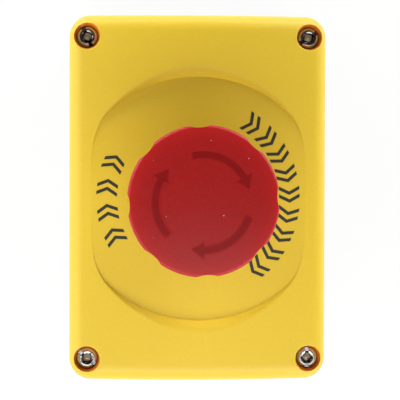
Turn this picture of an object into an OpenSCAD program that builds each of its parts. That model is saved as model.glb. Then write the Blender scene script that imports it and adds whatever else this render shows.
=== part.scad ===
// Emergency stop button in its own wall enclosure: a push-to-lock, twist-to-release head
// on a 22 mm operator, with two normally closed contact blocks behind it.
// The origin is the centre of the back face. +Z runs along the button's axis towards the
// user and +Y along the enclosure's long side. All sizes are in millimetres.

/* [Enclosure] */
// Width of the enclosure, along X
box_w = 72; // [68:1:84]
// Length of the enclosure, along Y
box_l = 102; // [96:1:124]
// Height of the rear base, from the wall to the joint line
base_h = 34; // [30:1:44]
// Height of the front cover, from the joint line to the crown of its face
cover_h = 30; // [26:1:36]
// Wall thickness of the base and the cover
wall = 3; // [2.6:0.1:3.6]
// Radius of the four corners, seen from the front
corner_r = 6; // [5:0.5:8]
// Radius of the rounded front edge
edge_r = 4.5; // [2.5:0.25:5]
// Radius of the cover's curved face
face_r = 170; // [150:5:200]

/* [Recess and panel] */
// Diameter of the round recess floor under the button
recess_d = 68; // [64:0.2:70]
// Depth of the recess at the crown of the face
recess_depth = 2.65; // [2:0.05:3.2]
// How far the recess wall leans outwards over its depth
recess_flare = 2.3; // [1:0.1:3]
// Thickness of the panel that the operator is clamped in
panel_t = 3; // [2.4:0.1:4]

/* [Cover screws] */
// Distance of each screw from the side of the enclosure
screw_inset_x = 5; // [4.9:0.1:7]
// Distance of each screw from the end of the enclosure
screw_inset_y = 6; // [5:0.1:8]
// Diameter of a screw head
head_d = 5.9; // [5.4:0.1:6.6]
// Height of a screw head
head_h = 2.6; // [2:0.1:3.2]
// Depth of a screw head's top below the cover's face
head_sunk = 2.75; // [1.5:0.25:4.5]
// Diameter of a screw's shank
shank_d = 4; // [3:0.1:4.4]
// Length of a screw's shank
shank_l = 40; // [32:1:44]

/* [Wall fixing] */
// Diameter of the four holes for wall screws
fixing_d = 5.8; // [4:0.1:6]
// Distance of the wall-screw holes from the sides
fixing_inset_x = 13; // [12.5:0.5:16]
// Distance of the wall-screw holes from the ends
fixing_inset_y = 12; // [11.5:0.5:16]
// Diameter of the knock-out for a cable gland in each end
knockout_d = 20.4; // [16:0.2:21]

/* [Operator] */
// Diameter of the operator's barrel
barrel_d = 22; // [22:0.5:24]
// Diameter of the bezel that sits on the panel
bezel_d = 29.5; // [28:0.5:33]
// Height of the bezel
bezel_h = 3; // [2:0.5:4]
// Height of the guide collar above the bezel
collar_h = 10.6; // [9:0.2:13]
// Thickness of the seal under the bezel
seal_t = 1; // [0.6:0.1:1.6]
// Diameter of the lock nut
nut_d = 30; // [28:0.5:34]
// Thickness of the lock nut
nut_t = 5; // [3:0.5:6]
// Depth of the return spring's seat below the recess floor
seat_depth = 9.4; // [8:0.1:11]

/* [Button head] */
// Diameter of the mushroom cap
cap_d = 40; // [36:0.5:44]
// Height of the cap's crown above the bezel
cap_stand = 26.65; // [25:0.05:30]
// Height of the cap's rim, from the crown down to its underside
cap_h = 8; // [7:0.25:9]
// Radius of the slightly domed crown
crown_r = 132; // [100:2:200]
// Width of the cap's soft upper edge, across the crown
cap_edge_w = 3; // [1:0.1:4]
// Drop of the cap's soft upper edge, below the crown
cap_edge_h = 1.75; // [0.8:0.05:2.5]
// Number of finger notches around the cap
notch_n = 8; // [6:1:12]
// Width of a finger notch along the rim
notch_w = 5.8; // [4:0.2:7]
// Depth of a finger notch
notch_depth = 0.7; // [0.4:0.1:1]
// Turn of the notches about the axis, in degrees
notch_turn = 3; // [0:1:10]

/* [Mechanism] */
// How far the button is pressed
travel = 6; // [4.5:0.25:6.5]
// Turn that releases the button, in degrees
release_turn = 45; // [40:1:50]
// Diameter of the stem
stem_d = 10; // [9:0.5:10.5]
// Diameter of a latch pin
pin_d = 3; // [2.4:0.1:3.2]
// How far the latch pins spread over the travel
latch_rise = 1; // [0.6:0.05:1.2]
// Height of the latch collar
latch_h = 5; // [4.5:0.1:6]
// Thickness of the push plate
plate_t = 2.4; // [1.8:0.1:3]
// Length of the return spring, between its seat and the cap's boss
spring_l = 18; // [17:0.5:19]
// Wire diameter of the return spring
spring_wire = 1.2; // [0.9:0.05:1.3]
// Turns of the return spring
spring_turns = 6; // [4:0.5:6.5]

/* [Contact blocks] */
// Width of one contact block
block_w = 12; // [11.5:0.25:12.5]
// Length of one contact block
block_l = 36; // [35:0.5:40]
// Height of one contact block
block_h = 21; // [20:0.5:23]
// Thickness of the fixed contact strips
strip_t = 1; // [0.6:0.1:1.4]
// Width of the fixed contact strips
strip_w = 5; // [4.6:0.2:6]
// Wire diameter of a contact spring
contact_wire = 0.6; // [0.4:0.05:0.7]
// Turns of a contact spring
contact_turns = 7; // [5:0.5:8]

/* [Hidden] */
$fn = 64;
// Facets of the blended cover form
blend_fn = 32;
// Overshoot of a cut past the face that it opens
cut = 1;

// Clearances
fit_gap = 0.05;
slide_gap = 0.15;
head_gap = 0.7;
hole_gap = 0.25;
skirt_gap = 0.5;
boss_gap = 0.5;
press_gap = 0.65;
axial_play = 0.1;
contact_gap = 0.05;
plunger_gap = 0.2;
latch_gap = 0.2;
stop_gap = 0.3;
strike_gap = 1.6;

// Levels of the enclosure
joint_z = base_h;
crown_z = base_h + cover_h;
panel_z = crown_z - recess_depth;
pad_z = panel_z - panel_t;

// Tongue, groove and gasket of the joint
tongue_w = 1.2;
tongue_h = 1;
gasket_t = 0.8;
tongue_inset = (wall - tongue_w) / 2;
groove_side = 0.1;

// Corner screws: the column round each follows the head's hole
screw_x = box_w / 2 - screw_inset_x;
screw_y = box_l / 2 - screw_inset_y;
counterbore_d = head_d + 2 * head_gap;
column_wall = 1.05;
column_d = counterbore_d + 2 * column_wall;
face_at_screw = crown_z - face_r + sqrt(face_r * face_r - screw_x * screw_x);
head_top_z = face_at_screw - head_sunk;
head_seat_z = head_top_z - head_h;
shank_gap = 0.2;
shank_hole_d = shank_d + 2 * shank_gap;
shank_end_z = head_seat_z - shank_l;
shank_end_gap = 1.5;
bore_bottom_z = shank_end_z - shank_end_gap;
drive_slot_w = 1.1;
drive_depth = 1.3;
drive_core_d = 2.6;
drive_cross_w = 0.95;
drive_cross_l = 3.7;

// Wall fixing
fixing_x = box_w / 2 - fixing_inset_x;
fixing_y = box_l / 2 - fixing_inset_y;
fixing_pad_wall = 1.85;
fixing_pad_d = fixing_d + 2 * fixing_pad_wall;
fixing_pad_h = 1.5;
knockout_groove = 0.9;
knockout_skin = 0.8;

// Face angle of the outermost edge rounds, where they reach the side of the enclosure
edge_reach = norm([face_r - edge_r, corner_r - edge_r]);
edge_turn = atan2(corner_r - edge_r, face_r - edge_r);
edge_angle = asin((box_w / 2 - edge_r) / edge_reach) - edge_turn;
face_steps = 8;

// Operator levels
bezel_z = panel_z + seal_t;
bezel_top_z = bezel_z + bezel_h;
collar_top_z = bezel_top_z + collar_h;
seat_z = panel_z - seat_depth;
ledge_t = 2;
ledge_z = seat_z - ledge_t;
latch_top_z = ledge_z - stop_gap;
pin_z = latch_top_z - latch_h / 2;
shoulder_drop = 0.7;
shoulder_z = latch_top_z - latch_h - shoulder_drop;
plate_top_z = shoulder_z - axial_play;
plate_z = plate_top_z - plate_t;
clip_t = 0.8;
clip_z = plate_z - axial_play - clip_t;
stem_tip = 0.7;
stem_end_z = clip_z - stem_tip;
barrel_over = 1.2;
barrel_end_z = pin_z - travel - barrel_over;

// Operator radii, all from the barrel
barrel_r = barrel_d / 2;
hole_r = barrel_r + hole_gap;
barrel_wall = 1.5;
cone_low_r = barrel_r - barrel_wall;
cone_high_r = cone_low_r - latch_rise;
well_r = cone_high_r;
collar_step = 0.5;
collar_r = barrel_r + collar_step;
groove_skin = 0.8;
groove_r = barrel_r - groove_skin;
pin_side_gap = 0.5;
groove_w = pin_d + 2 * pin_side_gap;
key_w = 3;
key_h = 0.95;
key_reach = barrel_r + key_h;
guide_r = stem_d / 2 + fit_gap;
seal_inset = 0.5;
nut_notches = 6;
nut_notch_depth = 2;
nut_notch_w = 3;
nut_notch_h = 3;

// Push plate, guided by two tabs in slots of the barrel and the carrier
open_step = 0.5;
open_r = cone_low_r - open_step;
plate_gap = 0.4;
plate_r = open_r - plate_gap;
tab_w = 3;
tab_reach = 0.5;
tab_r = cone_low_r + tab_reach;
tab_headroom = 2;
slot_r = tab_r + slide_gap;
journal_r = 3;
clip_groove_r = 2.5;
clip_r = 4.5;
clip_mouth_w = 4;

// Latch
latch_run = 1.5;
latch_r = well_r - latch_run;
cross_r = pin_d / 2 + fit_gap;
pin_tip_r = cone_high_r - latch_gap;
pin_root_r = 2.2;
latch_wire = 0.35;
latch_turns = 4;
latch_coil_gap = 0.25;
latch_coil_r = pin_d / 2 - latch_wire / 2 - latch_coil_gap;

// Cap
cap_r = cap_d / 2;
cap_top_z = bezel_top_z + cap_stand;
cap_low_z = cap_top_z - cap_h;
skirt_z = bezel_top_z + travel + press_gap;
skirt_in_r = collar_r + skirt_gap;
skirt_t = 1.5;
skirt_out_r = skirt_in_r + skirt_t;
under_rise = 4;
skirt_root_z = cap_low_z - under_rise;
cap_t = 3.5;
roof_z = cap_top_z - cap_t;
boss_r = well_r - boss_gap;
boss_z = seat_z + spring_l;
stem_cover = 4.5;
stem_top_z = roof_z - stem_cover;
rim_low_r = 1.2;
ring_r = 0.7;
ring_groove_depth = 1;
ring_groove_r = boss_r - ring_groove_depth;
ring_centre_r = ring_groove_r + ring_r;
ring_up = 3;
ring_z = boss_z + ring_up;
edge_start_r = cap_r - cap_edge_w;
crown_centre_z = cap_top_z - crown_r;
edge_steps = 10;
crown_steps = 7;
under_tilt = atan2(cap_low_z - skirt_root_z, cap_r - rim_low_r - skirt_out_r);
notch_chord_x = sqrt(cap_r * cap_r - notch_w * notch_w / 4);
notch_floor_x = cap_r - notch_depth;
notch_centre = (cap_r * cap_r - notch_floor_x * notch_floor_x) / (2 * (notch_chord_x - notch_floor_x));
notch_r = notch_centre - notch_floor_x;

// Return spring, between its seat and the cap's boss
spring_side_gap = 0.75;
spring_r = well_r - spring_side_gap - spring_wire / 2;

// Contact carrier
block_top_z = stem_end_z - travel - strike_gap;
block_z = block_top_z - block_h;
block_gap = 1;
block_x = (block_w + block_gap) / 2;
carrier_side = 4.5;
carrier_w = 2 * (block_w + carrier_side) + block_gap;
carrier_end = 3;
carrier_l = block_l + 2 * carrier_end;
carrier_plate_t = 4;
carrier_grip = 6;
carrier_wall = 3.5;
carrier_r = barrel_r + carrier_wall;
carrier_top_z = barrel_end_z + carrier_grip;
clamp_z = barrel_end_z + carrier_grip / 2;
clamp_w = 7;
clamp_reach = 5.5;
clamp_y = barrel_r + clamp_reach;
clamp_foot = 1;
clamp_screw_r = 1.7;
clamp_head_r = 2.9;
clamp_head_h = 2;
lug_inset = 1.5;
lug_y = block_l / 2 - lug_inset;
lug_w = 5;
lug_t = 1.6;
lug_nose = 0.6;
lug_nose_h = 1.2;

// Contact block, from its roof down
block_wall = 1.5;
roof_t = 2.5;
strip_top_z = block_top_z - roof_t;
strip_z = strip_top_z - strip_t;
tip_h = 1;
tip_r = 1.5;
bridge_t = 0.8;
pocket_l = 4.5;
cavity_l = block_l - 2 * (pocket_l + block_wall);
pocket_y = cavity_l / 2 + block_wall;
bridge_top_z = strip_z - contact_gap - tip_h;
bridge_z = bridge_top_z - bridge_t;
bridge_w = 4;
bridge_end_gap = 3;
bridge_l = cavity_l - 2 * bridge_end_gap;
tip_inset = 2;
tip_y = bridge_l / 2 - tip_inset;
cavity_head = 0.5;
cavity_top_z = strip_top_z + cavity_head;
block_floor = 2;
cavity_z = block_z + block_floor;
strip_lap = 1.8;
strip_y0 = tip_y - strip_lap;
strip_end_gap = 0.5;
strip_y1 = block_l / 2 - strip_end_gap;
plunger_w = 3;
plunger_l = 4;
plunger_top_z = plate_z - plunger_gap;
spigot_r = 1.2;
spigot_h = 3;
spigot_coil_gap = 0.6;
contact_coil_r = spigot_r + spigot_coil_gap + contact_wire / 2;
terminal_set = 0.1;
terminal_y = pocket_y + pocket_l / 2 - terminal_set;
terminal_roof = 0.6;
terminal_top_z = block_top_z - terminal_roof;
terminal_end_gap = 0.2;
terminal_r = 1.7;
terminal_head_r = 2.1;
terminal_head_h = 1.8;
clamp_plate_t = 1;
clamp_plate_gap = 0.5;
clamp_plate_w = block_w - 2 * (block_wall + clamp_plate_gap);
clamp_plate_l = 4;
terminal_head_z = strip_z - clamp_plate_t - terminal_head_h;

// Points of a circular arc from one angle to another
function arc(centre, radius, from, to, steps) = [
    for (i = [0 : steps])
        let (a = from + (to - from) * i / steps)
        centre + radius * [cos(a), sin(a)]
];

// Outline of the enclosure, drawn in by an inset
module plan(inset) {
    w = box_w - 2 * inset;
    l = box_l - 2 * inset;
    r = max(corner_r - inset, 1);
    square([w - 2 * r, l], center = true);
    square([w, l - 2 * r], center = true);
    for (sx = [-1, 1], sy = [-1, 1])
        translate([sx * (w / 2 - r), sy * (l / 2 - r)])
            circle(r);
}

// Ring of even width that follows the outline
module plan_ring(inset, width) {
    difference() {
        plan(inset);
        plan(inset + width);
    }
}

module at_screws() {
    for (sx = [-1, 1], sy = [-1, 1])
        translate([sx * screw_x, sy * screw_y, 0])
            children();
}

module at_fixings() {
    for (sx = [-1, 1], sy = [-1, 1])
        translate([sx * fixing_x, sy * fixing_y, 0])
            children();
}

// Cylinder between two levels
module rod(radius, z0, z1) {
    translate([0, 0, z0])
        cylinder(r = radius, h = z1 - z0);
}

// Tube between two levels
module tube(outer_r, inner_r, z0, z1) {
    difference() {
        rod(outer_r, z0, z1);
        rod(inner_r, z0 - cut, z1 + cut);
    }
}

// Block centred on x and y, between two levels
module block(w, l, z0, z1) {
    translate([-w / 2, -l / 2, z0])
        cube([w, l, z1 - z0]);
}

// Coil spring as one swept wire along +Z: straight feet of one wire diameter stand square
// on both seats, and the helix climbs between them.
coil_rings = 8;
wire_sides = 6;
function coil_path(radius, wire, length, turns) = concat(
    [[radius, 0, 0, 0], [radius, 0, wire / 2, 0]],
    [
        for (i = [0 : turns * coil_rings])
            let (a = 360 * i / coil_rings)
            let (climb = length - 2 * wire)
            [radius * cos(a), radius * sin(a), wire + climb * i / (turns * coil_rings), a]
    ],
    [
        for (up = [length - wire / 2, length])
            [radius * cos(360 * turns), radius * sin(360 * turns), up, 360 * turns]
    ]
);

function point_of(p) = [p[0], p[1], p[2]];

function heading(path, i) =
    let (last = len(path) - 1)
    let (ahead = i < last ? point_of(path[i + 1]) - point_of(path[i]) : [0, 0, 1])
    let (behind = i > 0 ? point_of(path[i]) - point_of(path[i - 1]) : [0, 0, 1])
    ahead / norm(ahead) + behind / norm(behind);

function coil_ring(path, i, wire) =
    let (along = heading(path, i) / norm(heading(path, i)))
    let (radial = [cos(path[i][3]), sin(path[i][3]), 0])
    let (square_out = radial - along * (radial * along))
    let (out = square_out / norm(square_out))
    let (side = cross(along, out))
    [
        for (k = [0 : wire_sides - 1])
            let (a = 360 * k / wire_sides)
            point_of(path[i]) + wire / 2 * (out * cos(a) + side * sin(a))
    ];

// Least gap between two stretches of the wire that lie half a turn or more apart
function coil_gap(path, wire) = min([
    for (i = [0 : len(path) - 1], j = [0 : len(path) - 1])
        if (j - i >= coil_rings / 2)
            norm(point_of(path[j]) - point_of(path[i])) - wire
]);

module coil_spring(label, radius, wire, length, turns) {
    path = coil_path(radius, wire, length, turns);
    rings = len(path);
    points = [for (i = [0 : rings - 1]) each coil_ring(path, i, wire)];
    sides = [
        for (i = [0 : rings - 2], k = [0 : wire_sides - 1])
            let (a = i * wire_sides + k)
            let (b = i * wire_sides + (k + 1) % wire_sides)
            each [[a, a + wire_sides, b], [b, a + wire_sides, b + wire_sides]]
    ];
    foot = [for (k = [1 : wire_sides - 2]) [0, k, k + 1]];
    top = (rings - 1) * wire_sides;
    head = [for (k = [1 : wire_sides - 2]) [top, top + k + 1, top + k]];
    echo(spring = label, least_gap = coil_gap(path, wire));
    polyhedron(points = points, faces = concat(sides, foot, head), convexity = 10);
}

module rear_base() {
    color("gainsboro")
    difference() {
        union() {
            difference() {
                linear_extrude(base_h)
                    plan(0);
                translate([0, 0, wall])
                    linear_extrude(base_h)
                        plan(wall);
            }
            translate([0, 0, base_h - cut])
                linear_extrude(tongue_h + cut)
                    plan_ring(tongue_inset, tongue_w);
            at_screws()
                rod(column_d / 2, wall - cut, joint_z);
            at_fixings()
                rod(fixing_pad_d / 2, wall - cut, wall + fixing_pad_h);
        }
        at_screws()
            rod(shank_d / 2 + fit_gap, bore_bottom_z, joint_z + tongue_h + cut);
        at_fixings()
            rod(fixing_d / 2, -cut, wall + fixing_pad_h + cut);
        for (sy = [-1, 1])
            translate([0, sy * box_l / 2, base_h / 2])
                rotate([sy * 90, 0, 0])
                    tube(knockout_d / 2 + knockout_groove, knockout_d / 2, -cut, wall - knockout_skin);
    }
}

// Rounded edge bead that the cover's form is drawn over
module edge_bead() {
    rotate_extrude($fn = blend_fn)
        intersection() {
            translate([corner_r - edge_r, 0])
                circle(edge_r, $fn = blend_fn);
            translate([0, -edge_r])
                square([corner_r, 2 * edge_r]);
        }
}

// Outside of the cover: a curved face blended into four straight sides
module cover_form() {
    hull() {
        for (i = [0 : face_steps], sy = [-1, 1])
            translate([0, sy * (box_l / 2 - corner_r), crown_z - face_r])
                rotate([0, edge_angle * (2 * i / face_steps - 1), 0])
                    translate([0, 0, face_r - edge_r])
                        edge_bead();
        translate([0, 0, joint_z])
            linear_extrude(cut)
                plan(0, $fn = blend_fn);
    }
}

// Inside of the cover, without the panel pad and the screw columns
module cover_cavity() {
    difference() {
        intersection() {
            translate([0, 0, joint_z - cut])
                linear_extrude(cover_h + cut)
                    plan(wall);
            translate([0, 0, crown_z - face_r])
                rotate([90, 0, 0])
                    cylinder(r = face_r - wall, h = 2 * box_l, center = true, $fn = 180);
        }
        rod(recess_d / 2 + wall, pad_z, crown_z + cut);
        at_screws()
            rod(column_d / 2, joint_z - 2 * cut, crown_z + cut);
    }
}

module front_cover() {
    color("gold")
    difference() {
        cover_form();
        cover_cavity();
        translate([0, 0, panel_z])
            cylinder(
                r1 = recess_d / 2,
                r2 = recess_d / 2 + recess_flare * (recess_depth + cut) / recess_depth,
                h = recess_depth + cut
            );
        rod(hole_r, pad_z - cut, panel_z + cut);
        translate([-key_w / 2 - slide_gap, 0, pad_z - cut])
            cube([key_w + 2 * slide_gap, key_reach + slide_gap, panel_t + 2 * cut]);
        at_screws() {
            rod(counterbore_d / 2, head_seat_z, crown_z + cut);
            rod(shank_hole_d / 2, joint_z - cut, head_seat_z + cut);
        }
        translate([0, 0, joint_z - cut])
            linear_extrude(tongue_h + gasket_t + cut)
                plan_ring(tongue_inset - groove_side, tongue_w + 2 * groove_side);
    }
}

module cover_gasket() {
    color("dimgray")
    translate([0, 0, joint_z + tongue_h])
        linear_extrude(gasket_t)
            plan_ring(tongue_inset, tongue_w);
}

// Drive recess of a combination head: a slot across the head and a cross in its middle
module drive_recess(reach, depth) {
    block(2 * reach, drive_slot_w, -depth, cut);
    block(drive_cross_w, drive_cross_l, -depth, cut);
    rod(drive_core_d / 2, -depth, cut);
}

module cover_screws() {
    color("silver")
    at_screws()
        difference() {
            union() {
                rod(head_d / 2, head_seat_z, head_top_z);
                rod(shank_d / 2, shank_end_z, head_seat_z + cut);
            }
            translate([0, 0, head_top_z])
                drive_recess(head_d, drive_depth);
        }
}

// Room inside the barrel for the latch: the pins spread on its cone as the button goes down
module latch_bore() {
    rotate_extrude()
        polygon([
            [0, barrel_end_z - cut],
            [cone_low_r, barrel_end_z - cut],
            [cone_low_r, pin_z - travel],
            [cone_high_r, pin_z],
            [cone_high_r, ledge_z],
            [0, ledge_z]
        ]);
    rotate([0, 0, -release_turn])
        block(2 * groove_r, groove_w, barrel_end_z - cut, ledge_z);
}

module operator_body() {
    color("#26262a")
    difference() {
        union() {
            rod(barrel_r, barrel_end_z, bezel_z + cut);
            rod(bezel_d / 2, bezel_z, bezel_top_z);
            rod(collar_r, bezel_z, collar_top_z);
            translate([-key_w / 2, 0, pad_z])
                cube([key_w, key_reach, panel_t]);
        }
        rod(well_r, seat_z, collar_top_z + cut);
        rod(guide_r, ledge_z - cut, seat_z + cut);
        latch_bore();
        block(tab_w + 2 * slide_gap, 2 * slot_r, barrel_end_z - cut, plate_top_z + tab_headroom);
    }
}

module panel_seal() {
    color("#3a3a3c")
    tube(bezel_d / 2 - seal_inset, collar_r, panel_z, bezel_z);
}

module lock_nut() {
    color("#44464a")
    difference() {
        tube(nut_d / 2, barrel_r + fit_gap, pad_z - nut_t, pad_z);
        for (i = [0 : nut_notches - 1])
            rotate([0, 0, 360 * (i + 0.5) / nut_notches])
                translate([nut_d / 2, 0, 0])
                    block(
                        2 * nut_notch_depth,
                        nut_notch_w,
                        pad_z - nut_t - cut,
                        pad_z - nut_t + nut_notch_h
                    );
    }
}

module return_spring() {
    color("lightsteelblue")
    translate([0, 0, seat_z])
        coil_spring("return", spring_r, spring_wire, spring_l, spring_turns);
}

// Level of the domed crown at a radius
function crown_at(r) = crown_centre_z + sqrt(crown_r * crown_r - r * r);

// Half section of the cap: its upper edge is a quarter ellipse laid on the crown
module cap_profile() {
    polygon(concat(
        [
            [0, boss_z],
            [boss_r, boss_z],
            [boss_r, ring_z - ring_r],
            [ring_groove_r, ring_z - ring_r],
            [ring_groove_r, ring_z + ring_r],
            [boss_r, ring_z + ring_r],
            [boss_r, roof_z],
            [skirt_in_r, roof_z],
            [skirt_in_r, skirt_z],
            [skirt_out_r, skirt_z],
            [skirt_out_r, skirt_root_z]
        ],
        arc([cap_r - rim_low_r, cap_low_z + rim_low_r], rim_low_r, under_tilt - 90, 0, 4),
        [
            for (i = [0 : edge_steps])
                let (t = 90 * (1 - i / edge_steps))
                let (r = edge_start_r + cap_edge_w * sin(t))
                [r, crown_at(r) - cap_edge_h * (1 - cos(t))]
        ],
        [
            for (i = [1 : crown_steps])
                let (r = edge_start_r * (1 - i / crown_steps))
                [r, crown_at(r)]
        ]
    ));
}

module mushroom_cap() {
    color("firebrick")
    difference() {
        rotate_extrude()
            cap_profile();
        for (i = [0 : notch_n - 1])
            rotate([0, 0, notch_turn + 360 * i / notch_n])
                translate([notch_centre, 0, 0])
                    rod(notch_r, cap_low_z - cut, cap_top_z + cut);
        rod(stem_d / 2 + fit_gap, boss_z - cut, stem_top_z);
    }
}

module stem() {
    color("silver")
    difference() {
        union() {
            rod(stem_d / 2, shoulder_z, stem_top_z);
            rod(journal_r, stem_end_z, shoulder_z + cut);
        }
        tube(journal_r + cut, clip_groove_r, clip_z - fit_gap, clip_z + clip_t + fit_gap);
        cross_bore();
    }
}

// Cross hole through the stem and the latch collar for the two pins
module cross_bore() {
    translate([0, 0, pin_z])
        rotate([0, 90, 0])
            cylinder(r = cross_r, h = 4 * latch_r, center = true);
}

module cap_seal() {
    color("#3a3a3c")
    translate([0, 0, ring_z])
        rotate_extrude()
            translate([ring_centre_r + fit_gap, 0])
                circle(ring_r - fit_gap);
}

module latch_collar() {
    color("silver")
    difference() {
        tube(latch_r, stem_d / 2 + fit_gap, latch_top_z - latch_h, latch_top_z);
        cross_bore();
    }
}

module latch_spring() {
    color("lightsteelblue")
    translate([-pin_root_r, 0, pin_z])
        rotate([0, 90, 0])
            coil_spring("latch", latch_coil_r, latch_wire, 2 * pin_root_r, latch_turns);
}

module stem_clip() {
    color("slategray")
    difference() {
        tube(clip_r, clip_groove_r + fit_gap, clip_z, clip_z + clip_t);
        translate([0, -clip_r, 0])
            block(clip_mouth_w, 2 * clip_r, clip_z - cut, clip_z + clip_t + cut);
    }
}

// Round-nosed pin along +X, resting just inside the barrel's cone
module latch_pin() {
    nose = pin_tip_r - pin_d / 2;
    translate([0, 0, pin_z])
        rotate([0, 90, 0]) {
            rod(pin_d / 2, pin_root_r, nose);
            translate([0, 0, nose])
                sphere(pin_d / 2);
        }
}

module latch_pin_left() {
    color("silver")
    mirror([1, 0, 0])
        latch_pin();
}

module latch_pin_right() {
    color("silver")
    latch_pin();
}

module push_plate() {
    color("ivory")
    difference() {
        union() {
            rod(plate_r, plate_z, plate_top_z);
            block(tab_w, 2 * tab_r, plate_z, plate_top_z);
        }
        rod(journal_r + fit_gap, plate_z - cut, plate_top_z + cut);
    }
}

module at_lugs() {
    for (sx = [-1, 1], sy = [-1, 1])
        translate([sx * block_x, sy * lug_y, 0])
            rotate([0, 0, sy > 0 ? 0 : 180])
                children();
}

module contact_carrier() {
    color("#3c3f44")
    difference() {
        union() {
            block(carrier_w, carrier_l, block_top_z, block_top_z + carrier_plate_t);
            rod(carrier_r, block_top_z, carrier_top_z);
            translate([-clamp_w / 2, 0, barrel_end_z - clamp_foot])
                cube([clamp_w, clamp_y, carrier_grip + clamp_foot]);
        }
        rod(barrel_r + fit_gap, barrel_end_z, carrier_top_z + cut);
        rod(open_r, block_top_z - cut, barrel_end_z + cut);
        block(tab_w + 2 * slide_gap, 2 * slot_r, block_top_z - cut, barrel_end_z + cut);
        at_lugs()
            block(
                lug_w + 2 * slide_gap,
                lug_t + 2 * slide_gap,
                block_top_z - cut,
                block_top_z + carrier_plate_t + cut
            );
        translate([0, 0, clamp_z])
            rotate([-90, 0, 0])
                rod(clamp_screw_r + fit_gap, 0, clamp_y + cut);
    }
}

module carrier_screw() {
    color("silver")
    translate([0, 0, clamp_z])
        rotate([-90, 0, 0])
            difference() {
                union() {
                    rod(clamp_screw_r, barrel_r + fit_gap, clamp_y + cut);
                    rod(clamp_head_r, clamp_y, clamp_y + clamp_head_h);
                }
                translate([0, 0, clamp_y + clamp_head_h])
                    drive_recess(clamp_head_r + cut, clamp_head_h / 2);
            }
}

// Snap lug that hooks a block to the carrier, seen along X
module snap_lug() {
    rise = carrier_plate_t + slide_gap;
    translate([-lug_w / 2, 0, block_top_z])
        rotate([90, 0, 90])
            linear_extrude(lug_w)
                polygon([
                    [-lug_t / 2, -cut],
                    [lug_t / 2, -cut],
                    [lug_t / 2, rise],
                    [lug_t / 2 + lug_nose, rise],
                    [lug_t / 2 - lug_nose / 2, rise + lug_nose_h],
                    [-lug_t / 2, rise + lug_nose_h]
                ]);
}

// Block for one normally closed contact, centred on its plunger, with the wire terminals
// in open pockets at both ends
module contact_housing() {
    inner_w = block_w - 2 * block_wall;
    difference() {
        union() {
            block(block_w, block_l, block_z, block_top_z);
            for (turn = [0, 180])
                rotate([0, 0, turn])
                    translate([0, lug_y, 0])
                        snap_lug();
        }
        difference() {
            block(inner_w, cavity_l, cavity_z, cavity_top_z);
            rod(spigot_r, cavity_z - cut, cavity_z + spigot_h);
        }
        block(
            plunger_w + 2 * slide_gap,
            plunger_l + 2 * slide_gap,
            cavity_top_z - cut,
            block_top_z + cut
        );
        for (sy = [-1, 1]) {
            translate([0, sy * (pocket_y + pocket_l / 2 + cut / 2), 0])
                block(inner_w, pocket_l + cut, block_z - cut, strip_top_z);
            translate([0, sy * (cavity_l / 2 + pocket_y) / 2, 0])
                block(strip_w + 2 * slide_gap, 3 * block_wall, strip_z - slide_gap, strip_top_z);
            translate([0, sy * terminal_y, 0])
                rod(terminal_r + fit_gap, strip_top_z - cut, terminal_top_z);
        }
    }
}

module contact_plunger() {
    block(plunger_w, plunger_l, bridge_top_z, plunger_top_z);
    rod(spigot_r, bridge_z - spigot_h, bridge_top_z + cut);
}

module contact_bridge() {
    difference() {
        block(bridge_w, bridge_l, bridge_z, bridge_top_z);
        rod(spigot_r + fit_gap, bridge_z - cut, bridge_top_z + cut);
    }
    for (sy = [-1, 1])
        translate([0, sy * tip_y, 0])
            rod(tip_r, bridge_top_z - bridge_t / 2, bridge_top_z + tip_h);
}

module contact_spring(label) {
    translate([0, 0, cavity_z])
        coil_spring(label, contact_coil_r, contact_wire, bridge_z - cavity_z, contact_turns);
}

module at_terminals() {
    for (turn = [0, 180])
        rotate([0, 0, turn])
            translate([0, terminal_y, 0])
                children();
}

module fixed_contacts() {
    for (turn = [0, 180])
        rotate([0, 0, turn])
            difference() {
                translate([-strip_w / 2, strip_y0, strip_z])
                    cube([strip_w, strip_y1 - strip_y0, strip_t]);
                translate([0, terminal_y, 0])
                    rod(terminal_r + fit_gap, strip_z - cut, strip_top_z + cut);
            }
}

module terminal_screws() {
    at_terminals()
        difference() {
            union() {
                rod(terminal_head_r, terminal_head_z, terminal_head_z + terminal_head_h);
                rod(
                    terminal_r,
                    terminal_head_z + terminal_head_h - cut,
                    terminal_top_z - terminal_end_gap
                );
            }
            translate([0, 0, terminal_head_z])
                rotate([180, 0, 0])
                    drive_recess(terminal_head_r + cut, terminal_head_h / 2);
        }
}

module wire_clamps() {
    at_terminals()
        difference() {
            block(clamp_plate_w, clamp_plate_l, strip_z - clamp_plate_t, strip_z);
            rod(terminal_r + fit_gap, strip_z - clamp_plate_t - cut, strip_z + cut);
        }
}

module at_left() {
    translate([-block_x, 0, 0])
        children();
}

module at_right() {
    translate([block_x, 0, 0])
        children();
}

module contact_housing_left() {
    color("#b9bcc0") at_left() contact_housing();
}

module contact_housing_right() {
    color("#b9bcc0") at_right() contact_housing();
}

module contact_plunger_left() {
    color("crimson") at_left() contact_plunger();
}

module contact_plunger_right() {
    color("crimson") at_right() contact_plunger();
}

module contact_bridge_left() {
    color("goldenrod") at_left() contact_bridge();
}

module contact_bridge_right() {
    color("goldenrod") at_right() contact_bridge();
}

module contact_spring_left() {
    color("lightsteelblue") at_left() contact_spring("contact left");
}

module contact_spring_right() {
    color("lightsteelblue") at_right() contact_spring("contact right");
}

module fixed_contacts_left() {
    color("goldenrod") at_left() fixed_contacts();
}

module fixed_contacts_right() {
    color("goldenrod") at_right() fixed_contacts();
}

module terminal_screws_left() {
    color("silver") at_left() terminal_screws();
}

module terminal_screws_right() {
    color("silver") at_right() terminal_screws();
}

module wire_clamps_left() {
    color("silver") at_left() wire_clamps();
}

module wire_clamps_right() {
    color("silver") at_right() wire_clamps();
}

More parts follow.
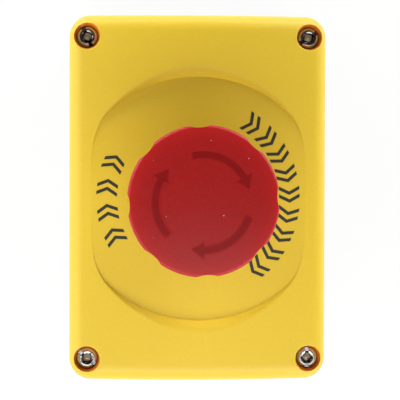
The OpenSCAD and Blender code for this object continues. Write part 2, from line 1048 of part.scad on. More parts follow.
rear_base();
front_cover();
cover_gasket();
cover_screws();
operator_body();
panel_seal();
lock_nut();
return_spring();
mushroom_cap();
stem();
cap_seal();
latch_collar();
latch_spring();
stem_clip();
latch_pin_left();
latch_pin_right();
push_plate();
contact_carrier();
carrier_screw();
contact_housing_left();
contact_housing_right();
contact_plunger_left();
contact_plunger_right();
contact_bridge_left();
contact_bridge_right();
contact_spring_left();
contact_spring_right();
fixed_contacts_left();
fixed_contacts_right();
terminal_screws_left();
terminal_screws_right();
wire_clamps_left();
wire_clamps_right();
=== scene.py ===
# Emergency stop button in a yellow wall enclosure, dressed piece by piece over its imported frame.
# Lengths are in metres. +Z is the button's axis, towards the user, and +Y the enclosure's long side.
import math
from math import cos, hypot, pi, radians, sin, sqrt

import bmesh
import bpy
import numpy as np
from mathutils import Matrix, Vector, geometry


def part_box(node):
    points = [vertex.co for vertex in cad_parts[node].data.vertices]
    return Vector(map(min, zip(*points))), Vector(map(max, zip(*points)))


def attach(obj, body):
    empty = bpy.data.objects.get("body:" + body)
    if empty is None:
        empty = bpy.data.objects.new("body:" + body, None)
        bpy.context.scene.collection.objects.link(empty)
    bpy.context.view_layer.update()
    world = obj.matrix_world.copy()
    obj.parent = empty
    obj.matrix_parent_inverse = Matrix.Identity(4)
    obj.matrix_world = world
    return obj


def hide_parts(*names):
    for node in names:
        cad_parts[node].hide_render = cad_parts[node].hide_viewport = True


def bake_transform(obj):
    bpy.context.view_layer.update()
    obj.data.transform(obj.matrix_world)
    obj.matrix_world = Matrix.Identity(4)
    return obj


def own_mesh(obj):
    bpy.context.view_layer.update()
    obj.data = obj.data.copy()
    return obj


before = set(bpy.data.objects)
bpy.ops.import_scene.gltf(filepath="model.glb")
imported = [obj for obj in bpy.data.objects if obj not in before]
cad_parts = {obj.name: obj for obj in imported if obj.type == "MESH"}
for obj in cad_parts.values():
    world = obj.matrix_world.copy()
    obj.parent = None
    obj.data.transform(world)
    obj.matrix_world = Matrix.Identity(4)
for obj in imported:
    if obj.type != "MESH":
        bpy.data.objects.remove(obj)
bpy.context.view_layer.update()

mm = 0.001
scene = bpy.context.scene
scene.view_settings.view_transform = "Standard"

# Camera
# A long lens straight above the button, a little to the left of its axis and above its centre.
sensor_width = 36
focal_length = 143.24
camera_place = Vector((-21.66, 12.40, 504.61)) * mm
camera_turn = (-0.0292, -0.0498, 0.0031)


def linked(name, data):
    """New object in the scene."""
    made = bpy.data.objects.new(name, data)
    scene.collection.objects.link(made)
    return made


camera = linked("camera", bpy.data.cameras.new("camera"))
camera.data.sensor_width = sensor_width
camera.data.lens = focal_length
camera.location = camera_place
camera.rotation_euler = camera_turn
scene.camera = camera

# Rear base
# The half of the enclosure that is screwed to the wall: an open tray of pale grey moulded plastic
# with four corner columns, four wall-screw pads and a knock-out in each end. Its edges are softened.
base_colour = (0.50, 0.51, 0.49)
base_shade = (0.44, 0.45, 0.44)
base_soften = 0.35 * mm
merge_gap = 0.0005 * mm


def feed(tree, node, feeds):
    """Give a node's inputs sockets, nodes (by their first output), plain values or plain colours."""
    for key, value in feeds.items():
        socket = node.inputs[key]
        if isinstance(value, bpy.types.Node):
            tree.links.new(value.outputs[0], socket)
        elif isinstance(value, bpy.types.NodeSocket):
            tree.links.new(value, socket)
        else:
            socket.default_value = (*value, 1) if socket.type == "RGBA" else value


def add(tree, kind, feeds=None, **settings):
    """New node with its settings made and its inputs fed."""
    made = tree.nodes.new(kind)
    for name, value in settings.items():
        setattr(made, name, value)
    feed(tree, made, feeds or {})
    return made


def calc(tree, operation, *terms):
    """Output of a math node on sockets or plain numbers."""
    return add(tree, "ShaderNodeMath", dict(enumerate(terms)), operation=operation).outputs[0]


def vector_calc(tree, operation, *terms):
    """Output of a vector math node on sockets or plain vectors."""
    made = add(tree, "ShaderNodeVectorMath", dict(enumerate(terms)), operation=operation)
    return made.outputs["Value" if operation == "LENGTH" else "Vector"]


def noise(tree, place, scale, detail, roughness):
    """Output of a noise texture."""
    return add(tree, "ShaderNodeTexNoise", {
        "Vector": place, "Scale": scale, "Detail": detail, "Roughness": roughness}).outputs["Fac"]


def ramp(tree, value, low, high, start=0.0, end=1.0):
    """Output that runs from start to end while a value goes from low to high."""
    return add(tree, "ShaderNodeMapRange", {
        "Value": value, "From Min": low, "From Max": high, "To Min": start, "To Max": end}).outputs[0]


def node_group(name, kind, first, sizes, outputs):
    """New node group, the sockets it is given (a first one and its sizes), and the node of its outputs."""
    tree = bpy.data.node_groups.new(name, kind + "NodeTree")
    number_kinds = {float: "NodeSocketFloat", int: "NodeSocketInt"}
    tree.interface.new_socket(first, in_out="INPUT", socket_type="NodeSocket" + first)
    for label, value in sizes.items():
        made = tree.interface.new_socket(label, in_out="INPUT", socket_type=number_kinds[type(value)])
        made.default_value = value
    for label in outputs:
        sort = "NodeSocketGeometry" if kind == "Geometry" else "NodeSocketFloat"
        tree.interface.new_socket(label, in_out="OUTPUT", socket_type=sort)
    return tree, add(tree, "NodeGroupInput").outputs, add(tree, "NodeGroupOutput")


def make_moulded_grain():
    """Fine pebbled skin of a spark-eroded mould, and the slow cloudiness of the moulded colour."""
    sizes = {"Pebbles": 2500.0, "Clouds": 60.0}
    tree, given, put = node_group("moulded_grain", "Shader", "Vector", sizes, ["Height", "Cloud"])
    feed(tree, put, {
        "Height": noise(tree, given["Vector"], given["Pebbles"], detail=2.0, roughness=0.55),
        "Cloud": noise(tree, given["Vector"], given["Clouds"], detail=3.0, roughness=0.6)})
    return tree


def make_settled_dust():
    """Sparse specks of lint: small dots in a few of the cells of a random pattern."""
    least_size = 0.4
    sizes = {"Cells": 600.0, "Size": 0.09, "Share": 0.03}
    tree, given, put = node_group("settled_dust", "Shader", "Vector", sizes, ["Specks"])
    cells = add(tree, "ShaderNodeTexVoronoi", {
        "Vector": given["Vector"], "Scale": given["Cells"], "Randomness": 1.0}, feature="F1").outputs
    pick = add(tree, "ShaderNodeSeparateColor", {"Color": cells["Color"]}).outputs
    chosen = calc(tree, "LESS_THAN", pick[0], given["Share"])
    reach = calc(tree, "MULTIPLY", given["Size"], calc(tree, "ADD", pick[1], least_size))
    dot = calc(tree, "LESS_THAN", cells["Distance"], reach)
    feed(tree, put, {"Specks": calc(tree, "MULTIPLY", chosen, dot)})
    return tree


def make_fine_scuffs():
    """Hairline rubbing marks: noise drawn out along one direction and cut to thin streaks."""
    sizes = {"Scale": 90.0, "Stretch": 14.0}
    tree, given, put = node_group("fine_scuffs", "Shader", "Vector", sizes, ["Scuffs"])
    stretch = add(tree, "ShaderNodeCombineXYZ", {"X": 1.0, "Y": given["Stretch"], "Z": 1.0}).outputs[0]
    drawn = vector_calc(tree, "MULTIPLY", given["Vector"], stretch)
    streaks = noise(tree, drawn, given["Scale"], detail=4.0, roughness=0.65)
    feed(tree, put, {"Scuffs": ramp(tree, streaks, low=0.52, high=0.72)})
    return tree


moulded_grain = make_moulded_grain()
settled_dust = make_settled_dust()
fine_scuffs = make_fine_scuffs()


def group_of(tree, group, place, **values):
    """Outputs of one use of a shader node group, with its own values."""
    return add(tree, "ShaderNodeGroup", {"Vector": place, **values}, node_tree=group).outputs


def blend_colour(tree, factor, first, second):
    """Output of a colour mix of two colours or sockets."""
    return add(tree, "ShaderNodeMix", {0: factor, 6: first, 7: second}, data_type="RGBA").outputs[2]


def bumped(tree, height, strength, depth):
    """Normal of a surface with a fine relief."""
    return add(tree, "ShaderNodeBump", {
        "Strength": strength, "Distance": depth, "Height": height}).outputs[0]


def new_material(name):
    """Empty node material with its Principled shader and the object's own coordinates."""
    material = bpy.data.materials.new(name)
    material.use_nodes = True
    tree = material.node_tree
    place = add(tree, "ShaderNodeTexCoord").outputs["Object"]
    return material, tree, tree.nodes["Principled BSDF"], place


def moulded_plastic(name, colour, shade, roughness, pebbles=2500.0, relief=0.006, specks=0.03, gloss=0.5,
                    tint=None, where=None):
    """Moulded plastic: mottled colour, pebbled skin, faint scuffs, a little dust, and a tint or a painted
    glow in places.
    """
    cloud_share = 0.5
    scuff_dulling = 0.08
    grain_dulling = 0.1
    material, tree, shader, place = new_material(name)
    grain = group_of(tree, moulded_grain, place, Pebbles=pebbles)
    dust = group_of(tree, settled_dust, place, Share=specks)
    scuffs = group_of(tree, fine_scuffs, place)
    pebbled = ramp(tree, grain["Height"], low=0.4, high=0.6)
    clouded = calc(tree, "MULTIPLY", grain["Cloud"], cloud_share)
    mottle = calc(tree, "MULTIPLY_ADD", pebbled, 1 - cloud_share, clouded)
    body = blend_colour(tree, mottle, shade, colour)
    if where:
        body = blend_colour(tree, where(tree, place), body, tint)
    lint = [0.6 * c + 0.3 for c in colour]
    rubbed = calc(tree, "MULTIPLY_ADD", scuffs["Scuffs"], scuff_dulling, roughness)
    feed(tree, shader, {
        "Base Color": blend_colour(tree, dust["Specks"], body, lint),
        "Roughness": calc(tree, "MULTIPLY_ADD", grain["Height"], grain_dulling, rubbed),
        "Specular IOR Level": gloss,
        "Normal": bumped(tree, grain["Height"], strength=0.35, depth=relief * mm)})
    return material


def new_piece(name, mesh, material, body, slot, *nodes):
    """Object of a finished mesh with its material, that rides on a body and stands for CAD nodes; its slot
    is not used.
    """
    mesh.name = name
    mesh.materials.clear()
    mesh.materials.append(material)
    piece = linked(name, mesh)
    if body:
        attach(piece, body)
    if nodes:
        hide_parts(*nodes)
    return piece


def finish_mesh(bm, sharp=40):
    """Plain mesh of a closed bmesh, with outward faces, smooth but for its sharp edges."""
    bmesh.ops.remove_doubles(bm, verts=bm.verts, dist=merge_gap)
    bmesh.ops.recalc_face_normals(bm, faces=bm.faces)
    mesh = bpy.data.meshes.new("finished")
    bm.to_mesh(mesh)
    bm.free()
    mesh.shade_smooth()
    mesh.set_sharp_from_angle(angle=radians(sharp))
    return mesh


def bmesh_of(mesh):
    """Copy of a mesh to edit."""
    bm = bmesh.new()
    bm.from_mesh(mesh)
    return bm


def soften_edges(bm, width, merge=merge_gap, flat=0.5):
    """Join the faces that lie flat, within some degrees, and round the sharp edges by a small bevel."""
    sharp_angle = radians(35)
    bmesh.ops.remove_doubles(bm, verts=bm.verts, dist=merge)
    bmesh.ops.dissolve_limit(bm, angle_limit=radians(flat), verts=bm.verts, edges=bm.edges)
    sharp = [e for e in bm.edges if e.is_manifold and e.calc_face_angle() > sharp_angle]
    bmesh.ops.bevel(bm, geom=sharp, offset=width, segments=2, profile=0.5, affect="EDGES",
                    clamp_overlap=True)
    bmesh.ops.triangulate(bm, faces=[f for f in bm.faces if len(f.verts) > 4])


def dressed(name, node, width, material, body, slot):
    """Piece of a CAD node's own mesh, with its edges softened over a width."""
    bm = bmesh_of(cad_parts[node].data)
    soften_edges(bm, width)
    new_piece(name, finish_mesh(bm), material, body, slot, node)


base_plastic = moulded_plastic("base_plastic", base_colour, base_shade, roughness=0.46)
dressed("rear_base_tray", "rear_base", base_soften, base_plastic, "enclosure", "base_plastic")

# Cover gasket
# A thin rubber ring in the groove of the joint, squeezed between the tray and the cover.
gasket_colour = (0.028, 0.028, 0.03)
seal_soften = 0.2 * mm


def soft_rubber(name, colour):
    """Matt moulded rubber with a bloom of dust."""
    material, tree, shader, place = new_material(name)
    grain = group_of(tree, moulded_grain, place, Pebbles=3200.0, Clouds=140.0)
    bloom = [2.2 * c + 0.004 for c in colour]
    roughness = 0.62
    grain_dulling = 0.18
    feed(tree, shader, {
        "Base Color": blend_colour(tree, grain["Cloud"], colour, bloom),
        "Roughness": calc(tree, "MULTIPLY_ADD", grain["Height"], grain_dulling, roughness),
        "Normal": bumped(tree, grain["Height"], strength=0.4, depth=0.008 * mm)})
    return material


seal_rubber = soft_rubber("seal_rubber", gasket_colour)
dressed("gasket_ring", "cover_gasket", seal_soften, seal_rubber, "enclosure", "seal_rubber")

# Front cover
# The yellow half of the enclosure, moulded in one shot: a face curved across the width, rounded front
# edges, a shallow round recess under the button, and four screw wells in the corners.
cover_low, cover_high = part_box("front_cover")
half_w = cover_high.x
half_l = cover_high.y
crown = cover_high.z
joint = cover_low.z
face_radius = 170 * mm
edge_radius = 4.5 * mm
corner_radius = 6 * mm
wall = 3 * mm
recess_radius = 34.0 * mm
recess_stretch = 1.04
recess_shift = Vector((0.12, -0.16)) * mm
recess_depth = 2.65 * mm
recess_corner = 5.0 * mm
recess_floor = crown - recess_depth
lip_width = 2.6 * mm
lip_bend = 1.35
lip_round = 0.3 * mm
lip_share = 0.6
crease_round = 0.03 * mm
panel_thick = 3 * mm
panel_under = recess_floor - panel_thick
panel_hole = 11.25 * mm
key_half = 1.65 * mm
key_reach = 12.1 * mm
screw_inset_x = 5 * mm
screw_inset_y = 6 * mm
screw_place = Vector((half_w - screw_inset_x, half_l - screw_inset_y))
screw_head = 2.6 * mm
well_radius = 3.65 * mm
well_foot = 3.05 * mm
well_draft = 1.6 * mm
well_rim = 0.14 * mm
well_lip = 0.12 * mm
well_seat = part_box("cover_screws")[1].z - screw_head
shank_hole = 2.2 * mm
column_radius = 4.7 * mm
joint_chamfer = 0.3 * mm
groove_outer = 0.8 * mm
groove_inner = 2.2 * mm
groove_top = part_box("cover_gasket")[1].z
ball_reach = face_radius - edge_radius
face_axis = crown - face_radius
crease_x = sqrt(face_radius ** 2 - (recess_floor - face_axis) ** 2)
corner_signs = ((1, 1), (-1, 1), (-1, -1), (1, -1))
corner_points = 19
column_points = 25


def ball_path(step):
    """Points and outward normals round the path of a ball that rolls inside the front edge."""
    radius = corner_radius - edge_radius
    half_x = half_w - edge_radius
    half_y = half_l - edge_radius
    arcs = []
    for quarter, (sx, sy) in enumerate(corner_signs):
        centre = Vector((sx * (half_x - radius), sy * (half_y - radius)))
        for angle in np.radians(np.linspace(90 * quarter, 90 * quarter + 90, corner_points)):
            normal = Vector((cos(angle), sin(angle)))
            arcs.append((centre + radius * normal, normal))
    around = []
    for (here, normal), (after, _) in zip(arcs, arcs[1:] + arcs[:1]):
        count = max(1, round((after - here).length / step))
        around += [(here.lerp(after, i / count), normal.copy()) for i in range(count)]
    return around


def edge_point(place, normal, turn):
    """Point of the rounded front edge: turn 0 lies on the curved face and 1 on the straight side."""
    lean = math.asin(place.x / ball_reach)
    up = Vector((sin(lean), 0, cos(lean)))
    centre = Vector((place.x, place.y, face_axis + ball_reach * cos(lean)))
    return centre + edge_radius * up.slerp(Vector((normal.x, normal.y, 0)), turn)


edge_line = ball_path(step=1.0 * mm)
ball_line = ball_path(step=0.1 * mm)
ball_xy = np.array([place[:] for place, _ in ball_line])
ball_z = face_axis + np.sqrt(ball_reach ** 2 - ball_xy[:, 0] ** 2)


def corner_reach(x, y):
    """How far a plan point lies past the rectangle through the centres of the outline's corners."""
    over_x = abs(x) - (half_w - corner_radius)
    over_y = abs(y) - (half_l - corner_radius)
    return hypot(max(over_x, 0), max(over_y, 0)) + min(max(over_x, over_y), 0)


def outer_height(x, y):
    """Height of the cover's outside: the curved face, rounded down at its edge by a rolling ball."""
    if corner_reach(x * ball_reach / face_radius, y) <= corner_radius - edge_radius:
        return face_axis + sqrt(face_radius ** 2 - x * x)
    drop = edge_radius ** 2 - ((ball_xy - (x, y)) ** 2).sum(1)
    near = drop > 0
    return float((ball_z[near] + np.sqrt(drop[near])).max())


def soft_min(a, b, size):
    """Smaller of two heights, with the edge between them rounded over a size."""
    share = max(size - abs(a - b), 0) / size
    return min(a, b) - share * share * size / 4


def past_foot(x, y):
    """How far a plan point lies outside the recess's foot: a slightly wide circle, cut off at the sides."""
    reach = hypot((x - recess_shift.x) / recess_stretch, y - recess_shift.y)
    return -soft_min(recess_radius - reach, crease_x - abs(x), recess_corner)


def skin_height(x, y):
    """Height of the cover's front: the outside, rolled down into the recess with a bulging lip."""
    outside = outer_height(x, y)
    step = max(past_foot(x, y) / lip_width, 0)
    bulge = (1 - max(1 - step, 0) ** lip_bend) ** (1 / lip_bend) + max(step - 1, 0)
    lip = max(crease_round, min(lip_round, lip_share * (outside - recess_floor)))
    return soft_min(outside, recess_floor + recess_depth * bulge, lip)


def circle(centre, radius, count):
    """Plan points round a circle, anticlockwise."""
    angles = [2 * pi * i / count for i in range(count)]
    return [Vector((centre[0] + radius * cos(a), centre[1] + radius * sin(a))) for a in angles]


class PlanPoints:
    """Plan points of the skin, kept a least gap apart, with the loops that its triangles keep."""

    def __init__(self, cell):
        self.cell = cell
        self.points = []
        self.loops = []
        self.taken = {}

    def put(self, point, gap=0):
        i, j = (math.floor(c / self.cell) for c in point)
        spread = math.ceil(gap / self.cell)
        around = range(-spread, spread + 1)
        cells = [(i + a, j + b) for a in around for b in around]
        if any((self.points[k] - point).length < gap for cell in cells for k in self.taken.get(cell, ())):
            return
        self.taken.setdefault((i, j), []).append(len(self.points))
        self.points.append(point)

    def loop(self, points):
        first = len(self.points)
        for point in points:
            self.put(point)
        count = len(self.points) - first
        self.loops += [(first + i, first + (i + 1) % count) for i in range(count)]
        return range(first, first + count)


# The skin is drawn in plan as points, close together where it bends: along the front edge, round the
# wells, across the recess's wall and along the creases where the recess runs out at the sides.
well_points = 72
hole_points = 96
key_clear = 0.2 * mm
steep_turn = 0.62
face_turns = (0.0, 0.09, 0.18, 0.27, 0.36, 0.45, 0.54)
side_turns = (0.72, 0.82, 0.91, 1.0)
rim_steps = (0.02 * mm, 0.06 * mm, well_rim, 0.4 * mm, 0.9 * mm)
rim_depth = 0.75 * mm
foot_pitch = 1.25
foot_tries = 12
least_wall = 0.01 * mm
wall_steps = (0, 0.03, 0.08, 0.15, 0.25, 0.4, 0.6, 0.85, 1.15, 1.5, 1.9, 2.3, 2.7, 3.2, 3.8)
floor_steps = (0.05, 0.15, 0.4, 1.0)
crease_line = np.arange(-16, 16.01, 0.8) * mm
crease_steps = (0, -0.25 * mm, 0.25 * mm, -0.7 * mm, 0.7 * mm)
fill = 1.6 * mm
fill_row = 0.866
wells = [Vector((sx * screw_place.x, sy * screw_place.y)) for sx in (-1, 1) for sy in (-1, 1)]
plan = PlanPoints(cell=0.5 * mm)
edge_ring = plan.loop([edge_point(place, normal, steep_turn).to_2d() for place, normal in edge_line])
well_rings = [plan.loop(circle(well, well_radius, well_points)) for well in wells]
key_side = sqrt(panel_hole ** 2 - key_half ** 2)
opening = [p for p in circle((0, 0), panel_hole, hole_points) if p.y < 0 or abs(p.x) > key_half + key_clear]
key_from = next(i for i, p in enumerate(opening) if p.x < 0)
opening[key_from:key_from] = [
    Vector((key_half, key_side)), Vector((key_half, key_reach)),
    Vector((-key_half, key_reach)), Vector((-key_half, key_side))]
hole_ring = plan.loop(opening)
for well in wells:
    for step in rim_steps:
        for point in circle(well, well_radius + step, well_points):
            if corner_radius - corner_reach(*point) > rim_depth:
                plan.put(point, gap=0.02 * mm)


def in_well(point, margin):
    """Is a plan point inside a screw well, or within a margin of it?"""
    return any((point - well).length < well_radius + margin for well in wells)


for turn in face_turns:
    for place, normal in edge_line:
        point = edge_point(place, normal, turn).to_2d()
        if not in_well(point, margin=1.0 * mm):
            plan.put(point, gap=0.2 * mm)
for degree in np.arange(0, 360, foot_pitch):
    way = Vector((cos(radians(degree)), sin(radians(degree))))
    foot_at = recess_radius
    for _ in range(foot_tries):
        foot_at -= past_foot(*(way * foot_at))
    if outer_height(foot_at * way.x, 0) > recess_floor + least_wall:
        for step in wall_steps:
            plan.put(way * (foot_at + step * mm), gap=0.025 * mm)
        for step in floor_steps:
            plan.put(way * (foot_at - step * mm), gap=0.04 * mm)
for y in crease_line:
    for x in crease_steps:
        for side in (-1, 1):
            plan.put(Vector((side * (crease_x + x), y)), gap=0.15 * mm)
for row, y in enumerate(np.arange(-half_l, half_l, fill * fill_row)):
    for x in np.arange(-half_w, half_w, fill) + fill / 2 * (row % 2):
        point = Vector((x, y))
        inside = abs(x) < half_w - edge_radius and abs(y) < half_l - edge_radius
        if inside and point.length > key_reach + fill / 2 and not in_well(point, margin=1.2 * mm):
            plan.put(point, gap=0.9 * mm)


def rim_drop(point):
    """How far the rounded rim of a screw well lies under the cover's outside."""
    step = min((point - well).length for well in wells) - well_radius
    inner = max(well_rim - max(step, 0), 0)
    return well_rim - sqrt(well_rim ** 2 - inner ** 2)


def bridge(bm, first, second):
    """Quads between two rings of as many vertices."""
    count = len(first)
    for i in range(count):
        j = (i + 1) % count
        bm.faces.new((first[i], first[j], second[j], second[i]))


def ring_of(bm, points):
    """Vertices of a ring."""
    return [bm.verts.new(point) for point in points]


def walls(bm, start, outlines):
    """New rings along outlines, with quads from a first ring to each next one."""
    rings = [start]
    for points in outlines:
        rings.append(ring_of(bm, points))
        bridge(bm, rings[-2], rings[-1])
    return rings[1:]


def flat_fill(bm, *rings):
    """Triangles of a flat face between an outer ring and the holes in it."""
    verts = [v for ring in rings for v in ring]
    corners = geometry.tessellate_polygon([[v.co for v in ring] for ring in rings])
    faces = [bm.faces.new([verts[i] for i in three]) for three in corners]
    border = {frozenset((a, b)) for ring in rings for a, b in zip(ring, ring[1:] + ring[:1])}
    inner = {e for f in faces for e in f.edges if frozenset(e.verts) not in border}
    bmesh.ops.beautify_fill(bm, faces=faces, edges=list(inner), method="ANGLE")


cover = bmesh.new()
sunk = cover.verts.layers.float.new("sunk")
flat, _, triangles, *_ = geometry.delaunay_2d_cdt(plan.points, plan.loops, [], 1, 1e-9)
skin = [cover.verts.new((p.x, p.y, skin_height(p.x, p.y) - rim_drop(p))) for p in flat]
for corners in triangles:
    middle = sum((flat[i] for i in corners), Vector((0, 0))) / 3
    in_key = abs(middle.x) < key_half and 0 < middle.y < key_reach
    if not in_well(middle, margin=0) and middle.length > panel_hole and not in_key:
        cover.faces.new([skin[i] for i in corners])
side_lines = [[edge_point(place, normal, turn) for place, normal in edge_line] for turn in side_turns]
for inset, z in ((0, joint + joint_chamfer), (joint_chamfer, joint), (groove_outer, joint),
                 (groove_outer, groove_top), (groove_inner, groove_top), (groove_inner, joint)):
    side_lines.append([
        (*(place + edge_radius * normal - inset * normal), z) for place, normal in edge_line])
joint_ring = walls(cover, [skin[i] for i in edge_ring], side_lines)[-1]
shank_rings = []
for well, ring in zip(wells, well_rings):
    rim = [skin[i] for i in ring]
    well_lines = [[v.co - Vector((0, 0, well_lip)) for v in rim]]
    for radius, z in ((well_foot, well_seat + well_draft), (well_foot, well_seat), (shank_hole, well_seat),
                      (shank_hole, joint)):
        well_lines.append([(*p, z) for p in circle(well, radius, well_points)])
    well_walls = walls(cover, rim, well_lines)
    # The wells' walls are marked for a painted orange glow.
    for vert in sum(well_walls, []):
        vert[sunk] = float(vert.co.z > joint)
    shank_rings.append(well_walls[-1])


def cavity_outline():
    """Plan of the room inside: straight walls, with the four screw columns standing in its corners."""
    dx = half_w - wall - screw_place.x
    dy = half_l - wall - screw_place.y
    start = math.atan2(-sqrt(column_radius ** 2 - dx * dx), dx)
    end = math.atan2(dy, -sqrt(column_radius ** 2 - dy * dy)) - 2 * pi
    around = []
    for sx, sy in corner_signs:
        arc = [
            Vector((sx * (screw_place.x + column_radius * cos(a)),
                    sy * (screw_place.y + column_radius * sin(a))))
            for a in np.linspace(start, end, column_points)]
        around += arc if sx * sy > 0 else arc[::-1]
    return around


room_low, room_high = (ring_of(cover, [(*p, z) for p in cavity_outline()]) for z in (joint, panel_under))
bridge(cover, room_low, room_high)
flat_fill(cover, joint_ring, room_low, *shank_rings)
hole_low = walls(cover, [skin[i] for i in hole_ring], [[(*p, panel_under) for p in opening]])[-1]
flat_fill(cover, room_high, hole_low)

cover_colour = (0.73, 0.51, 0.030)
cover_shade = (0.69, 0.475, 0.027)
# Painted glow: the screw wells' walls get a deep orange that stands in for light shining through their thin
# plastic.
painted_well_glow = (0.68, 0.19, 0.008)


def carried(attribute):
    """Mask that a mesh carries, such as the wells' walls, where orange is painted for light shining
    through.
    """
    return lambda tree, _: add(tree, "ShaderNodeAttribute", attribute_name=attribute).outputs["Fac"]


cover_plastic = moulded_plastic("cover_plastic", cover_colour, cover_shade, roughness=0.36, pebbles=1600.0,
                                relief=0.018, specks=0.015, tint=painted_well_glow, where=carried("sunk"))
new_piece("cover_shell", finish_mesh(cover), cover_plastic, "enclosure", "cover_plastic", "front_cover")

# Release marks on the recess floor
# A broken ring of black double chevrons, pad-printed on the yellow floor, that point the way the head
# is turned to release it.
mark_inner = 22.6 * mm
mark_outer = 28.4 * mm
mark_stroke = 1.0 * mm
mark_point = 1.5 * mm
mark_gap = 2.2 * mm
ink_lift = 0.02 * mm
ink_colour = (0.018, 0.018, 0.010)
right_marks = (9, 54.0, -49.0)
left_marks = (4, 157.5, 204.5)


def plain_mesh(holder):
    """Mesh of an object as its modifiers leave it."""
    bpy.context.view_layer.update()
    graph = bpy.context.evaluated_depsgraph_get()
    return bpy.data.meshes.new_from_object(holder.evaluated_get(graph), depsgraph=graph)


def shape_group(name, sizes):
    """Geometry Nodes tree with a geometry input and output, and named inputs for its sizes."""
    return node_group(name, "Geometry", "Geometry", sizes, ["Geometry"])


def end_shape(tree, put, shape, material):
    """Last nodes of a Geometry Nodes tree: its instances are made real and get their material."""
    real = add(tree, "GeometryNodeRealizeInstances", {"Geometry": shape})
    painted = add(tree, "GeometryNodeSetMaterial", {"Geometry": real, "Material": material})
    feed(tree, put, {"Geometry": painted})
    return tree


def grown(tree, base, sizes):
    """Plain mesh that a Geometry Nodes tree makes from a base mesh and its sizes."""
    holder = linked(tree.name, base)
    modifier = holder.modifiers.new(tree.name, "NODES")
    modifier.node_group = tree
    for item in tree.interface.items_tree:
        if item.in_out == "INPUT" and item.name in sizes:
            modifier[item.identifier] = sizes[item.name]
    mesh = plain_mesh(holder)
    holder.modifiers.remove(modifier)
    bpy.data.objects.remove(holder)
    return mesh


def repeated_piece(name, part_mesh, places, material, body, slot, *nodes):
    """Piece of one part set at many places, each with its own turn about +Z."""
    points = bpy.data.meshes.new(name)
    points.from_pydata([place for place, _ in places], [], [])
    points.attributes.new("turn", "FLOAT", "POINT").data.foreach_set("value", [turn for _, turn in places])
    part = linked(name + "_part", part_mesh)
    tree, given, put = shape_group(name, {})
    source = add(tree, "GeometryNodeObjectInfo", {"Object": part}, transform_space="ORIGINAL")
    turn = add(tree, "GeometryNodeInputNamedAttribute", {"Name": "turn"}, data_type="FLOAT")
    lean = add(tree, "ShaderNodeCombineXYZ", {"Z": turn})
    spread = add(tree, "GeometryNodeInstanceOnPoints", {
        "Points": given["Geometry"], "Instance": source.outputs["Geometry"], "Rotation": lean})
    end_shape(tree, put, spread, material)
    mesh = grown(tree, points, {})
    bpy.data.objects.remove(part)
    new_piece(name, mesh, material, body, slot, *nodes)


def slab(bm, corners, low, high):
    """Closed plate of a flat outline between two levels."""
    bottom, top = (ring_of(bm, [(*p, z) for p in corners]) for z in (low, high))
    bridge(bm, bottom, top)
    flat_fill(bm, bottom)
    flat_fill(bm, top)


def print_ink(name, colour):
    """Pad-printing ink: black with a dry, slightly mottled surface."""
    material, tree, shader, place = new_material(name)
    grain = group_of(tree, moulded_grain, place, Pebbles=2500.0, Clouds=900.0)
    thin = [1.6 * c + 0.003 for c in colour]
    roughness = 0.42
    grain_dulling = 0.15
    feed(tree, shader, {
        "Base Color": blend_colour(tree, grain["Cloud"], colour, thin),
        "Roughness": calc(tree, "MULTIPLY_ADD", grain["Height"], grain_dulling, roughness)})
    return material


def chevron_mesh():
    """Two chevrons side by side, pointing along +X, on the ring's middle radius along +Y."""
    bm = bmesh.new()
    half = (mark_outer - mark_inner) / 2
    for shift in (-mark_gap / 2, mark_gap / 2):
        back = shift - (mark_stroke + mark_point) / 2
        outline = [(0, -half), (mark_stroke, -half), (mark_stroke + mark_point, 0),
                   (mark_stroke, half), (0, half), (mark_point, 0)]
        slab(bm, [(back + x, y) for x, y in outline], recess_floor - ink_lift, recess_floor + ink_lift)
    return finish_mesh(bm)


def ring_places(radius, count, start, end):
    """Places along an arc, each with the turn that sets a part's +Y outwards."""
    angles = np.radians(np.linspace(start, end, count))
    return [((radius * cos(a), radius * sin(a), 0), a - pi / 2) for a in angles]


mark_radius = (mark_inner + mark_outer) / 2
mark_places = ring_places(mark_radius, *right_marks) + ring_places(mark_radius, *left_marks)
mark_ink = print_ink("mark_ink", ink_colour)
repeated_piece("release_marks", chevron_mesh(), mark_places, mark_ink, "enclosure", None)

# Cover screws
# Four plated steel screws deep in the corner wells, with a domed head and a slot across a star-shaped
# recess. They hold the cover to the tray's columns, each left at its own turn.
screw_low, screw_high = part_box("cover_screws")
head_radius = 2.95 * mm
head_fall = 1.2 * mm
head_bend = 2.6
head_foot = 0.2 * mm
head_rings = 13
screw_points = 64
ridge_radius = 1.9 * mm
dip_radius = 1.4 * mm
dip_depth = 0.1 * mm
reflection_radius = 2.25 * mm
reflection_gap = 0.07 * mm
floor_gap = 0.05 * mm
slot_half = 0.55 * mm
slot_depth = 0.9 * mm
slot_reach = 5 * mm
cut_above = 1 * mm
cross_reach = 1.9 * mm
cross_waist = 1.2 * mm
cross_foot = 1.05 * mm
cross_foot_waist = 0.8
cross_depth = 1.2 * mm
cross_rise = 0.2 * mm
cross_corners = 8
shank_radius = 2.0 * mm
tip_length = 1.2 * mm
tip_share = 0.55
screw_soften = 0.06 * mm
screw_merge = 0.002 * mm
# Painted reflection: a golden coat on the head's flank and a brownish one on the recess floor, barely
# metallic, stand in for the warm reflection of the yellow wells.
flank_painted_reflection = (0.70, 0.86, 0.38)
floor_painted_reflection = (0.54, 0.44, 0.31)
screw_colour = (0.78, 0.75, 0.73)
screw_dull = (0.52, 0.50, 0.48)
# Painted shade: the drive recess's walls are darkened to near black, where shade falls in them.
recess_shade_colour = (0.035, 0.030, 0.026)
screw_turns = {(-1, 1): 114, (1, 1): 32, (-1, -1): -38, (1, -1): 90}


def fan(bm, tip, ring):
    """Triangles between a tip and a ring."""
    for i, vert in enumerate(ring):
        bm.faces.new((tip, vert, ring[(i + 1) % len(ring)]))


